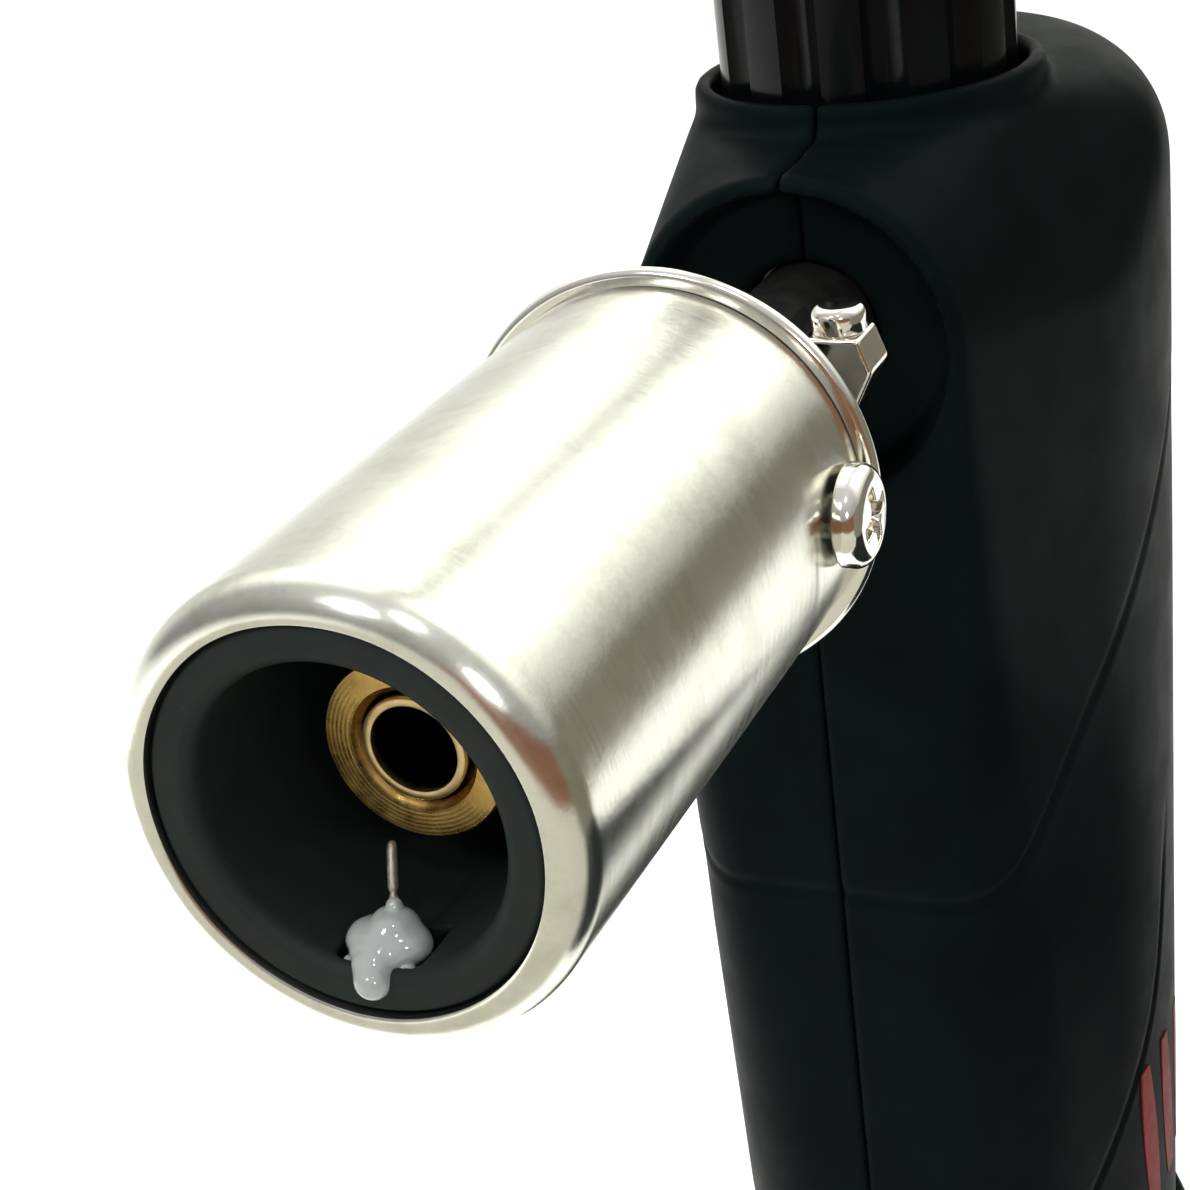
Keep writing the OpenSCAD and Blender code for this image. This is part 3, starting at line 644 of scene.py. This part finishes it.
profile = [(3.22, HEAD_FACE + 0.12), (3.30, HEAD_FACE)]
for i in range(26):
    r = 3.36 + 1.26 * i / 25
    profile.append((r, HEAD_FACE + (0.003 if i % 2 else 0.0)))
profile += [(HEAD_R, HEAD_FACE + 0.08), (HEAD_R, 23.9), (5.3, 24.0), (5.4, 24.1), (5.4, HEAD_END - 0.1),
    (5.3, HEAD_END)]
profile += [(3.7, HEAD_END), (3.62, HEAD_END - 0.1), (3.62, 24.2), (2.97, 24.0), (2.95, 23.8), (2.95, 7.7)]
place(lathe("burner_nose", profile, 160, "nozzle"), "burner_nose", "torch", M["brass"], "burner_head",
    40)

profile = [(TUBE_BORE, 7.4), (2.28, 7.32), (2.33, HEAD_FACE), (2.66, HEAD_FACE), (2.7, 7.33), (TUBE_R, 7.4)]
profile += [(TUBE_R, TUBE_END - 0.1), (2.66, TUBE_END), (2.34, TUBE_END), (TUBE_BORE, TUBE_END - 0.1)]
tube_parts = [lathe("t", profile, 128, "nozzle")]
for a in (30, 150, 270):
    for z in (8.0, 18.0):
        c, s = math.cos(math.radians(a)), math.sin(math.radians(a))
        rib = box(2.5, 2.93, -0.34, 0.34, z, z + 1.6)
        moved(rib, lambda v: (v[0] * c - v[1] * s, v[0] * s + v[1] * c, v[2]))
        tube_parts.append(moved(rib, f))
place(joined(tube_parts), "burner_inner_tube", "torch", M["brass_rim"], "inner_tube", 40)

# ---------------------------------------------------------------- igniter wire and its sealant

route = [(0, WIRE_DROP, 39.4), (0, WIRE_DROP, 20), (0, WIRE_DROP, 4.6), (0.05, 8.9, 3.7), (0.2, 7.9, 3.1),
    (0.25, 6.6, 2.95), (0.2, 5.7, 3.05), (-0.03, 4.6, 3.7), (-0.33, 3.55, 4.55)]
path = smooth_path(route, 14)
radii = [WIRE_R - 0.09 * math.exp(-(((p[1] - 5.3) / 0.13) ** 2)) for p in path]
radii[-3:] = [0.245, 0.235, 0.215]
place(tube("igniter_wire", path, WIRE_R, 20, "nozzle", radii=radii), "igniter_wire", "torch", M["wire"],
    "electrode_wire", 60)

def egg(centre, radii):
    return moved(ball((0, 0, 0), 1.0, 48), lambda v: tuple(centre[i] + radii[i] * v[i] for i in range(3)))


blobs = [((0.24 - 0.05 * t, 5.75 + 1.35 * t, 2.93 - 0.25 * t),
    (0.34 + 0.9 * t ** 2.2,) * 3) for t in np.linspace(0, 1, 9)]
blobs += [
    ((0.1, 6.72, 2.75), (1.05, 0.52, 0.8)), ((0.02, 6.98, 2.65), (1.6, 0.72, 1.0)), ((-0.05, 7.45, 2.4),
        (2.12, 1.15, 1.35)), ((-0.25, 7.7, 1.8), (1.45, 1.05, 1.1)), ((-0.25, 7.95, 1.2), (1.02, 0.95, 0.95)),
    ((-0.12, 8.2, 0.8), (0.92, 0.85, 0.85)), ((0.0, 8.33, 0.42), (0.84, 0.76, 0.76)), ((-1.5, 8.05, 1.35),
        (0.5, 0.22, 0.3)),
    ((1.3, 8.1, 1.4), (0.5, 0.2, 0.3)), ((0.0, 8.6, 3.0), (1.5, 1.4, 1.3)), ((0.0, 8.7, 2.2),
        (1.3, 1.1, 1.0)),
]
sealant = joined([moved(egg(c, r), f) for c, r in blobs])
soften(sealant, 0.08, 34)
co, no = vertices(sealant)
co = co + no * (0.11 + 0.02 * np.sin(co[:, :1] * 4.1 + co[:, 2:] * 3.3))
r = np.hypot(co[:, 0], co[:, 2] - AXIS)
k = np.where((r > 9.9) & (co[:, 1] < -REACH + 1.2), 9.9 / r, 1.0)
co[:, 0] *= k
co[:, 2] = AXIS + (co[:, 2] - AXIS) * k
set_vertices(sealant, co)
place(sealant, "igniter_sealant", "torch", M["silicone"], "electrode_sealant", 80)

# ---------------------------------------------------------------- screws

def pan_head(head_r, head_h, recess, cross_w, shank_r, shank, sides=72):
    """A cross-recessed pan-head screw along +z, its seat at z = 0."""
    prof = [(0, -shank), (shank_r - 0.1, -shank), (shank_r, -shank + 0.15), (shank_r, 0),
        (head_r - 0.06, 0), (head_r, 0.08), (head_r, 0.55)]
    prof += arc(head_r - head_h * 0.62, 0.55, head_h * 0.62, 10, 80,
        6)[0:] + [(head_r * 0.45, head_h - 0.03), (0, head_h)]
    ob = lathe("screw", prof, sides, closed=False)
    arms = []
    for turn in (0, 90):
        c, s = math.cos(math.radians(turn)), math.sin(math.radians(turn))
        w, l = cross_w / 2, recess
        arm = prism([(-l, -w), (l, -w), (l, w), (-l, w)], head_h - 0.95, head_h + 1)
        arms.append(moved(arm, lambda v: (v[0] * c - v[1] * s, v[0] * s + v[1] * c, v[2])))
    arms.append(bar(0.35, 0.95, head_h - 1.15, head_h + 0.1, 24))
    boolean(ob, arms)
    return ob


screws = []
for side in (1, -1):
    s = pan_head(2.95, 1.7, 1.75, 0.84, 1.45, 5.5)
    soften(s, 0.075, 3)
    turn = math.radians(17)
    c, w = math.cos(turn), math.sin(turn)
    moved(s, lambda v: (side * (12.0 + v[2]), -REACH + SCREW_Z + v[0] * c - v[1] * w,
        AXIS + side * (v[0] * w + v[1] * c)))
    screws.append(s)
place(joined(screws), "barrel_screws", "torch", M["nickel"], "shroud_screws", 70)

screws = []
for y, z in HOUSING_SCREWS:
    s = pan_head(2.3, 1.8, 1.4, 0.6, 1.05, 16, 48)
    soften(s, 0.09, 2)
    screws.append(moved(s, lambda v: (-10.0 - v[2], y + v[0], z - v[1])))
place(joined(screws), "housing_screw_set", "torch", M["steel"], "housing_screws", 70)

# ---------------------------------------------------------------- air collar with its lever

outline = [(3, 3.9), (4.4, 2.3), (9.8, 2.4), (11, 4.8), (10.3, 6.8), (7.1, 6.8)]
parts = [bar(COLLAR_R, COLLAR_R, COLLAR_FRONT, COLLAR_BACK, 96),
    bar(5.9, 5.9, COLLAR_FRONT, COLLAR_FRONT + 1, 96), prism([(x, -h) for x, h in outline], 45, 48.4)]
collar = joined([moved(p, f) for p in parts])
soften(collar, 0.14, 0)
cutters = [moved(bar(COLLAR_BORE, COLLAR_BORE, 40, 52, 96), f)]
for turn in (0, 90):
    c, s = math.cos(math.radians(turn)), math.sin(math.radians(turn))
    hole = moved(bar(1.5, 1.5, -5.4, 5.4, 48), lambda v: (v[2] * c - v[0] * s, v[2] * s + v[0] * c,
        v[1] + 46.2))
    cutters.append(moved(hole, f))
boolean(collar, cutters)
soften(collar, 0.13, 5)
place(collar, "air_collar_sleeve", "collar", M["nickel"], "air_collar", 70)

stud = lathe("stud", [(0, 6.8), (1.5, 6.8), (1.6, 6.9), (1.6, 7.85)] + arc(1.0, 7.8, 0.6, 10, 85,
    6) + [(0, 8.4)], 64, closed=False)
moved(stud, lambda v: (v[0] + 8.7, v[1] - REACH + 46.7, v[2] + AXIS))
place(stud, "lever_stud", "collar", M["nickel"], "air_lever_stud", 50)

# ---------------------------------------------------------------- housing

def rise(z):
    return min(1, max(0, (z - GRIP_LOW) / (AXIS - GRIP_LOW)))


def half_w(z):
    return (35 + 2 * rise(z)) / 2


def widest_y(z):
    return 2.2 + 3.4 * rise(z)


def section(z, inset, n=160, half=False):
    out = []
    for i in range(n // 2 + 1 if half else n):
        a = 2 * math.pi * i / n
        depth = (GRIP_FRONT + widest_y(z) if math.sin(a) < -1e-9 else GRIP_BACK) - inset
        out.append(((half_w(z) - inset) * math.cos(a), widest_y(z) + depth * math.sin(a)))
    return out


def grip_form(inset, bottom):
    pts = [(x, y, bottom) for x, y in section(bottom, inset)]
    pts += [(x, y, AXIS - 2) for x, y in section(AXIS - 2, inset)]
    r = 9 - inset
    for a in range(0, 91, 6):
        z = AXIS + 3.4 + r * math.sin(math.radians(a))
        pts += [(x, y, z) for x, y in section(z, inset + r * (1 - math.cos(math.radians(a))), half=True)]
    for k in range(120):
        a = 2 * math.pi * k / 120
        c, s = math.cos(a), math.sin(a)
        pts.append(((11.4 - inset) * c, -REACH + 61 + inset, AXIS + (11.4 - inset) * s))
        pts.append(((12.3 - inset) * c, KNOB_Y + (12.3 - inset) * s, AXIS + 12 - inset))
    return hull(pts)


form = grip_form(0, GRIP_LOW)
soften(form, 0.6, 12)
form = boolean(form, [box(-60, 60, -60, 60, 0, GRIP_LOW + 0.02)])
rim = lathe("rim", [(0, 119), (12.6, 119), (12.45, 122), (12.3, 125.6), (12.1, 125.9), (11.8, 126),
    (0, 126)], 160, "knob", closed=False)
boolean(form, [rim], "UNION")
boolean(form, [grip_form(WALL, GRIP_LOW + 2)])
inside = [bar(11.7, 11.7, 61.8, 67.2, 96, "nozzle"), bar(12.2, 12.2, 120.2, 124, 96, "knob")]
boolean(form, inside, "UNION")
soften(form, 0.36, 0)
cutters = [
    bar(RECESS_R + 0.9, RECESS_R - 1.2, RECESS_FACE - 3, RECESS_FLOOR, 128, "nozzle"),
    bar(4.8, 4.8, RECESS_FLOOR - 1, 69, 64, "nozzle"),
    moved(moved(bar(1.3, 1.3, RECESS_FLOOR - 1, 69, 32), lambda v: (v[0], v[1] + WIRE_DROP, v[2])), f),
    lathe("pocket", [(0, 122), (11.0, 122), (11.0, 125.2), (11.3, 126), (11.3, 131), (0, 131)], 128, "knob",
        closed=False),
    bar(3.1, 3.1, 118, 123, 48, "knob"),
    bar(6.2, 6.2, 8, 14, 64),
    box(-6.85, 6.85, 16.5, 40, 85.65, 108.35),
]
for y, z in HOUSING_SCREWS:
    cutters.append(cross_bar(2.5, -30, -10, y, z))
boolean(form, cutters, solver="MANIFOLD")

GROOVES = [
    [(-27, 70), (-21, 71), (-10, 80.5), (2, 91.5), (15, 104)],
    [(-27, 30), (-17, 33.5), (-7, 41), (0, 50), (4, 68)],
]


def line_distance(y, z, line):
    """How far each point is from a line in the side view, more than zero below it."""
    best = np.full(len(y), 1e9)
    sign = np.ones(len(y))
    for (ay, az), (by, bz) in zip(line, line[1:]):
        uy, uz = by - ay, bz - az
        t = np.clip(((y - ay) * uy + (z - az) * uz) / (uy * uy + uz * uz), 0, 1)
        dy, dz = y - ay - t * uy, z - az - t * uz
        d = np.hypot(dy, dz)
        near = d < best
        best = np.where(near, d, best)
        sign = np.where(near, np.sign(dy * uz - dz * uy), sign)
    return best * sign


def decorate(ob):
    """The shallow curved lines across the grip."""
    co, no = vertices(ob)
    mid = np.array([widest_y(z) for z in co[:, 2]])
    away = np.stack([co[:, 0], (co[:, 1] - mid) * 0.75, np.zeros(len(co))], 1)
    away /= np.maximum(np.linalg.norm(away, axis=1)[:, None], 1e-6)
    facing = ease(0.15, 0.5, (no * away).sum(1)) * (1 - ease(116, 121, co[:, 2])) * (1 - ease(7, 14,
        co[:, 1]))
    for points in GROOVES:
        d = line_distance(co[:, 1], co[:, 2], smooth_path(points, 8))
        fade = facing * (1 - ease(55, 66, co[:, 2]) if points[0][1] < 50 else 1)
        groove = 0.24 * np.exp(-((d / 0.5) ** 2)) * fade
        step = 0.08 * ease(0.0, 1.8, d) * (1 - ease(1.8, 9.0, d)) * fade
        co = co - no * (groove + step)[:, None]
    set_vertices(ob, co)


for side, name in ((-1, "housing_left"), (1, "housing_right")):
    half = form.copy()
    half.data = form.data.copy()
    bpy.context.scene.collection.objects.link(half)
    x0, x1 = sorted((side * 0.02, side * 60))
    boolean(half, [box(x0, x1, -60, 60, 0, 200)], "INTERSECT", solver="MANIFOLD")
    soften(half, 0.34, 4)
    decorate(half)
    place(half, name + "_shell", "torch", M["housing"], name, 80)
drop(form)

# ---------------------------------------------------------------- knob and its cap

def knob_mesh():
    n = 528
    prof = [(9.55, KNOB_FOOT, 0.6), (9.9, 122.85, 1.0)]
    prof += [(KNOB_R, 123.2 + 19.3 * i / 24, 1.0) for i in range(25)]
    for r, z in arc(9.2, 142.8, 1.2, 6, 84, 7):
        prof.append((r, z, max(0.0, (r - 8.6) / 1.8)))
    prof += [(8.8, KNOB_TOP, 0.0), (7.0, KNOB_TOP, 0.0), (6.72, 143.9, 0.0), (6.62, 143.7, 0.0),
        (6.62, 142.4, 0.0), (0, 142.4, 0.0)]
    verts, faces, rows = [], [], []
    for r, z, depth in prof:
        if r == 0:
            rows.append([len(verts)])
            verts.append((0, KNOB_Y, z))
            continue
        rows.append(list(range(len(verts), len(verts) + n)))
        for k in range(n):
            a = 2 * math.pi * k / n
            w = ((a * FLUTES / (2 * math.pi)) % 1.0) - 0.5
            arc_mm = (0.5 - abs(w)) * 2 * math.pi * KNOB_R / FLUTES
            g = max(0.0, 1 - (arc_mm / 1.45) ** 2)
            crown = 0.10 * (1 - (2 * w) ** 2) - 0.10
            rr = r - depth * (0.98 * g ** 0.75 - crown)
            verts.append((rr * math.cos(a), KNOB_Y + rr * math.sin(a), z))
    for a, b in zip(rows, rows[1:]):
        for k in range(n):
            m = (k + 1) % n
            faces.append((a[k], a[m], b[0]) if len(b) == 1 else (a[k], a[m], b[m], b[k]))
    inside = [(7.8, KNOB_FOOT), (7.8, 136.8), (7.6, 137.0), (4.8, 137.0), (4.6, 136.8),
        (4.6, KNOB_FOOT + 0.1), (4.5, KNOB_FOOT), (2.6, KNOB_FOOT), (2.5, KNOB_FOOT + 0.1), (2.5,
            139.0), (0, 139.0)]
    start = rows[0]
    for r, z in inside:
        if r == 0:
            row = [len(verts)]
            verts.append((0, KNOB_Y, z))
        else:
            row = list(range(len(verts), len(verts) + n))
            verts += [(r * math.cos(2 * math.pi * k / n), KNOB_Y + r * math.sin(2 * math.pi * k / n),
                z) for k in range(n)]
        for k in range(n):
            m = (k + 1) % n
            faces.append((start[m], start[k], row[0]) if len(row) == 1 else (start[m], start[k], row[k],
                row[m]))
        start = row
    return new_obj("knob", verts, faces)


place(knob_mesh(), "fluted_knob", "knob", M["knob"], "flow_knob", 42)

cap = [(0, 141.8), (3.8, 141.8), (3.9, 141.9), (3.9, 142.45), (6.4, 142.45), (6.5, 142.6), (6.5, 143.4),
    (6.3, 143.62), (5.9, 143.68), (5.2, 143.62), (0, 143.5)]
place(lathe("cap", cap, 128, "knob", closed=False), "knob_top_cap", "knob", M["trigger"], "knob_cap",
    40)

# ---------------------------------------------------------------- trigger

def trigger_piece():
    round_r, round_y = 30.0, 3.5
    low, high = TRIGGER_Z - TRIGGER_HALF, TRIGGER_Z + TRIGGER_HALF
    crown = arc(round_y, TRIGGER_Z, round_r, -25, 25, 24)
    crown = [(y, z) for y, z in crown if low <= z <= high]
    end = round_y + math.sqrt(round_r ** 2 - TRIGGER_HALF ** 2)
    outline = [(TRIGGER_FACE, low), (end, low)] + crown + [(end, high), (TRIGGER_FACE, high)]
    body = prism([(z, y) for y, z in outline], -6.5, 6.5, lambda v: (v[2], v[1], v[0]))
    boolean(body, [box(-8.3, 8.3, 19.6, 21.4, 87, 107)], "UNION")
    boolean(body, [box(-5, 5, 10, 31.9, 87.6, 106.4)])
    soften(body, 0.24, 6)
    co, no = vertices(body)
    out = ease(0.5, 0.9, no[:, 1]) * (co[:, 1] > 29.5)
    up = co[:, 2] - TRIGGER_Z
    within = (1 - ease(6.6, 8.4, np.abs(up))) * (1 - ease(4.2, 5.4, np.abs(co[:, 0])))
    ridges = 0.28 * (0.5 - 0.5 * np.cos(up * 2 * math.pi / 2.2)) * out * within
    dish = 0.35 * np.exp(-((up / 5.5) ** 2)) * out
    co = co - no * (ridges + dish)[:, None]
    set_vertices(body, co)
    return body


place(trigger_piece(), "thumb_trigger", "trigger_unit", M["trigger"], "trigger", 70)

# ---------------------------------------------------------------- springs

def coil(name, radius, wire, turns, start, end, axis, centre):
    pts = []
    n = int(turns * 28)
    for i in range(n + 1):
        t = i / n
        a = 2 * math.pi * turns * t
        h = start + wire + (end - start - 2 * wire) * float(ease(0.0, 1.0, t) * 0.35 + t * 0.65)
        c, s = radius * math.cos(a), radius * math.sin(a)
        pts.append((c + centre[0], h, s + centre[1]) if axis == "y" else (c + centre[0], s + centre[1], h))
    return tube(name, pts, wire, 10)


spring = coil("t", 3.0, 0.38, 6.5, 21.0, 31.9, "y", (0, 97))
place(spring, "trigger_return_spring", "torch", M["spring"], "trigger_spring", 60)
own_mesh(spring)
spring = coil("f", 2.25, 0.33, 4.5, 17.0, 22.9, "z", (0, 0))
place(spring, "fill_return_spring", "torch", M["spring"], "fill_valve_spring", 60)
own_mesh(spring)

# ---------------------------------------------------------------- foot and sole

def oval(half_x, half_y, n):
    turn = 2 * math.pi / n
    return [(half_x * math.cos(turn * i), FOOT_BACK + half_y * math.sin(turn * i)) for i in range(n)]


def foot_outline(grow, n=192):
    return oval(FOOT_X + grow, FOOT_Y + grow, n)


points = [(x, y, 1.45) for x, y in foot_outline(-0.35)] + [(x, y, 1.8) for x,
    y in foot_outline(-0.02)] + [(x, y, 3.4) for x, y in foot_outline(-0.02)]
points += [(x, y, 15.5) for x, y in section(16, -1.4, 192)] + [(x, y, 15.95) for x,
    y in section(16, -1.05, 192)]
foot = hull(points)
socket = prism(section(14.2, -0.12, 192), GRIP_LOW, 30)
under = prism(section(GRIP_LOW, -0.6, 192), 0.4, 8.0)
boolean(under, [bar(10.8, 10.8, -1, 40, 96)])
boolean(foot, [socket, under, bar(9, 9, -1, 40, 96)])
soften(foot, 0.34, 5)
co, no = vertices(foot)
facing = ease(0.1, 0.4, no[:, 2]) * (co[:, 2] > 2.5) * (np.hypot(co[:, 0] / 19, (co[:, 1]) / 27) > 0.9)
line = 0.28 * np.exp(-(((co[:, 2] - 5.4) / 0.4) ** 2)) * facing
set_vertices(foot, co - no * line[:, None])
place(foot, "flared_foot", "torch", M["housing"], "base_foot", 80)

sole = prism(foot_outline(-1), 0, SOLE)
cutters = [bar(9.8, 9.8, -1, 4, 96)]
for k in (0.55, 0.72, 0.88):
    ring, core = (oval((FOOT_X - 1) * k + edge, (FOOT_Y - 1) * k + edge, 160) for edge in (0.5, -0.5))
    cutters.append(boolean(prism(ring, -1, 0.45), [prism(core, -2, 1)]))
boolean(sole, cutters)
m = sole.modifiers.new("edge", "BEVEL")
m.width, m.segments, m.limit_method, m.angle_limit = 0.18, 2, "ANGLE", math.radians(50)
bake(sole)
place(sole, "rubber_sole", "torch", M["sole"], "foot_sole", 40)

# ---------------------------------------------------------------- plain red accents on the grip's sides

def skin_x(y, z):
    b = y - widest_y(z)
    d = GRIP_FRONT + widest_y(z) if b < 0 else GRIP_BACK
    return half_w(z) * math.sqrt(max(0.0, 1 - (b / d) ** 2))


def accent(side):
    verts, faces = [], []
    wide, low, high, sunk, lift = 3.0, 27.0, 42.0, -0.25, 0.05
    rows, cols = 24, 6
    for y0 in (-3.0, 2.0, 7.0):
        base = len(verts)
        for layer in (sunk, lift):
            for i in range(rows + 1):
                t = i / rows
                z = low + (high - low) * t
                for j in range(cols + 1):
                    w = (j / cols - 0.5) * wide * (0.55 + 0.45 * math.sin(math.pi * min(1, 0.15 + 0.85 * t)))
                    y = y0 + w - 0.12 * (z - 35)
                    verts.append((side * (skin_x(y, z) + layer), y, z))
        n = (rows + 1) * (cols + 1)
        top = base + n

        def at(o, i, j):
            return o + i * (cols + 1) + j

        for i in range(rows):
            for j in range(cols):
                faces.append((at(top, i, j), at(top, i, j + 1), at(top, i + 1, j + 1), at(top, i + 1, j)))
                faces.append((at(base, i, j), at(base, i + 1, j), at(base, i + 1, j + 1), at(base, i, j + 1)))
        for i in range(rows):
            for j in (0, cols):
                faces.append((at(base, i, j), at(top, i, j), at(top, i + 1, j), at(base, i + 1, j)))
        for j in range(cols):
            for i in (0, rows):
                faces.append((at(base, i, j), at(base, i, j + 1), at(top, i, j + 1), at(top, i, j)))
    return new_obj("accent", verts, faces)


place(accent(1), "accent_marks_right", "torch", M["accent"], (), 50)
place(accent(-1), "accent_marks_left", "torch", M["accent"], (), 50)

# ---------------------------------------------------------------- stage, light and camera

def stage_plane(name, corners, mat):
    me = bpy.data.meshes.new(name)
    me.from_pydata(corners, [], [(0, 1, 2, 3)])
    ob = bpy.data.objects.new(name, me)
    bpy.context.scene.collection.objects.link(ob)
    me.materials.append(mat)
    return ob


pale = bpy.data.materials.new("floor_pale")
pale.use_nodes = True
nt, bsdf = nodes_of(pale)
tc = nt.nodes.new("ShaderNodeTexCoord").outputs["Object"]
nt.links.new(ramp(nt, noise(nt, tc, 3, 3), [(0.3, (0.90, 0.90, 0.89)), (0.7, (0.93, 0.93, 0.92))]),
    bsdf.inputs["Base Color"])
bsdf.inputs["Roughness"].default_value = 0.9
bsdf.inputs["Specular IOR Level"].default_value = 0.1
S = 6.0
stage_plane("floor", [(-S, -S, 0), (S, -S, 0), (S, S, 0), (-S, S, 0)], pale)



def flag(name, color, corners):
    """A dull card that only shiny surfaces see, as a photographer's flag."""
    mat = bpy.data.materials.new(name)
    mat.use_nodes = True
    inputs = nodes_of(mat)[1].inputs
    inputs["Base Color"].default_value = (*color, 1)
    inputs["Roughness"].default_value = 1.0
    inputs["Specular IOR Level"].default_value = 0.0
    card = stage_plane(name, corners, mat)
    card.visible_camera = False
    card.visible_shadow = False
    card.visible_diffuse = False
    card.visible_transmission = False


def flat(x0, x1, y0, y1, z):
    return [(x0, y0, z), (x1, y0, z), (x1, y1, z), (x0, y1, z)]


def upright(start, end, low, high):
    return [(*start, low), (*end, low), (*end, high), (*start, high)]


DULL, BROWN = (0.15, 0.145, 0.12), (0.15, 0.072, 0.045)
flag("flag_front", (0.36, 0.35, 0.31), flat(-0.3, 0.45, -1.2, -0.104, 0.0008))
flag("flag_beside", (0.012, 0.014, 0.014), flat(0.05, 1.2, -0.10, 0.10, 0.001))
flag("flag_right", DULL, upright((0.16, -0.12), (0.16, 0.9), 0.042, 0.150))
flag("flag_brown_front", BROWN, upright((-0.02, -0.47), (0.329, -0.234), 0.02, 0.185))
flag("flag_brown_right", BROWN, upright((0.329, -0.234), (0.354, -0.13), 0.02, 0.185))

world = bpy.data.worlds.new("studio")
bpy.context.scene.world = world
world.use_nodes = True
nt = world.node_tree
for n in list(nt.nodes):
    nt.nodes.remove(n)
out = nt.nodes.new("ShaderNodeOutputWorld")
bg = nt.nodes.new("ShaderNodeBackground")
nt.links.new(bg.outputs[0], out.inputs[0])
tc = nt.nodes.new("ShaderNodeTexCoord")
sep = nt.nodes.new("ShaderNodeSeparateXYZ")
nt.links.new(tc.outputs["Generated"], sep.inputs[0])
turn = nt.nodes.new("ShaderNodeMath")
turn.operation = "ARCTAN2"
nt.links.new(sep.outputs["X"], turn.inputs[0])
nt.links.new(sep.outputs["Z"], turn.inputs[1])
pos = nt.nodes.new("ShaderNodeMapRange")
pos.inputs["From Min"].default_value, pos.inputs["From Max"].default_value = -math.pi, math.pi
nt.links.new(turn.outputs[0], pos.inputs["Value"])


def around(deg):
    return (deg + 180) / 360


def grey(v):
    return (v, v * 1.005, v * 0.94)


# Brightness of the room behind the torch, by degrees round the nozzle's axis from straight up
# towards +X. These soft boxes and dark gaps give the barrel its long reflections.
STRIP = [
    (-180, 0.6), (-110, 0.80), (-90, 0.82), (-76, 0.79), (-64, 0.90), (-53, 1.30), (-40, 1.9), (-14,
        1.9), (-6, 1.55), (-2, 0.80), (2, 0.80),
    (6, 1.55), (14, 1.9), (42, 1.8), (52, 1.30), (64, 0.80), (77, 0.42), (92, 0.32), (110, 0.45), (180, 0.6),
]
back_light = ramp(nt, pos.outputs["Result"], [(around(a), grey(v)) for a, v in STRIP])
front_light = nt.nodes.new("ShaderNodeMapRange")
front_light.inputs["From Min"].default_value, front_light.inputs["From Max"].default_value = -0.2, 1.0
front_light.inputs["To Min"].default_value, front_light.inputs["To Max"].default_value = 0.10, 0.75
nt.links.new(sep.outputs["Z"], front_light.inputs["Value"])
side = nt.nodes.new("ShaderNodeMapRange")
side.inputs["From Min"].default_value, side.inputs["From Max"].default_value = -0.15, 0.25
nt.links.new(sep.outputs["Y"], side.inputs["Value"])
room = mixed(nt, side.outputs["Result"], front_light.outputs["Result"], back_light)
direct = nt.nodes.new("ShaderNodeLightPath").outputs["Is Camera Ray"]
nt.links.new(mixed(nt, direct, room, (1.0, 1.0, 0.995, 1)), bg.inputs["Color"])


def area(name, at, to, size, power, color=(1, 1, 1), seen=False):
    li = bpy.data.lights.new(name, "AREA")
    li.shape = "DISK"
    li.size = size
    li.energy = power
    li.color = color
    ob = bpy.data.objects.new(name, li)
    bpy.context.scene.collection.objects.link(ob)
    ob.location = at
    ob.rotation_mode = "QUATERNION"
    ob.rotation_quaternion = (Vector(to) - Vector(at)).to_track_quat("-Z", "Y")
    ob.visible_glossy = seen
    return ob


area("key_soft", (-0.45, -0.35, 0.75), (0, -0.03, 0.09), 0.55, 5.5, (1.0, 0.99, 0.96))
area("fill_soft", (0.55, -0.55, 0.40), (0, -0.02, 0.08), 0.5, 1.6, (0.96, 0.98, 1.0))

area("spark_left", (-0.20, -0.62, 0.62), (0, -0.086, 0.112), 0.10, 1.0, (1, 1, 1), True)
area("spark_right", (0.34, -0.70, 0.40), (0, -0.086, 0.112), 0.09, 0.7, (1, 1, 1), True)
area("spark_high", (0.10, -0.45, 0.72), (0, -0.086, 0.112), 0.07, 0.5, (1, 1, 1), True)

scene = bpy.context.scene
scene.view_settings.view_transform = "Standard"
scene.view_settings.look = "None"

LENS, SENSOR = 70.04, 36.0
CAMERA_AT = (0.05132, -0.15997, 0.16240)
AZIMUTH, ELEVATION, ROLL = (math.radians(angle) for angle in (26.671, 24.607, -7.858))

cam = bpy.data.cameras.new("camera")
cam.lens = LENS
cam.sensor_width = SENSOR
cam.clip_start, cam.clip_end = 0.005, 20
eye = bpy.data.objects.new("camera", cam)
scene.collection.objects.link(eye)
back = Vector((
    math.sin(AZIMUTH) * math.cos(ELEVATION),
    -math.cos(AZIMUTH) * math.cos(ELEVATION),
    math.sin(ELEVATION),
))
level = Vector((math.cos(AZIMUTH), math.sin(AZIMUTH), 0))
right = math.cos(ROLL) * level + math.sin(ROLL) * back.cross(level)
up = back.cross(right)
eye.matrix_world = Matrix([(right[i], up[i], back[i], CAMERA_AT[i]) for i in range(3)] + [(0, 0, 0, 1)])
scene.camera = eye
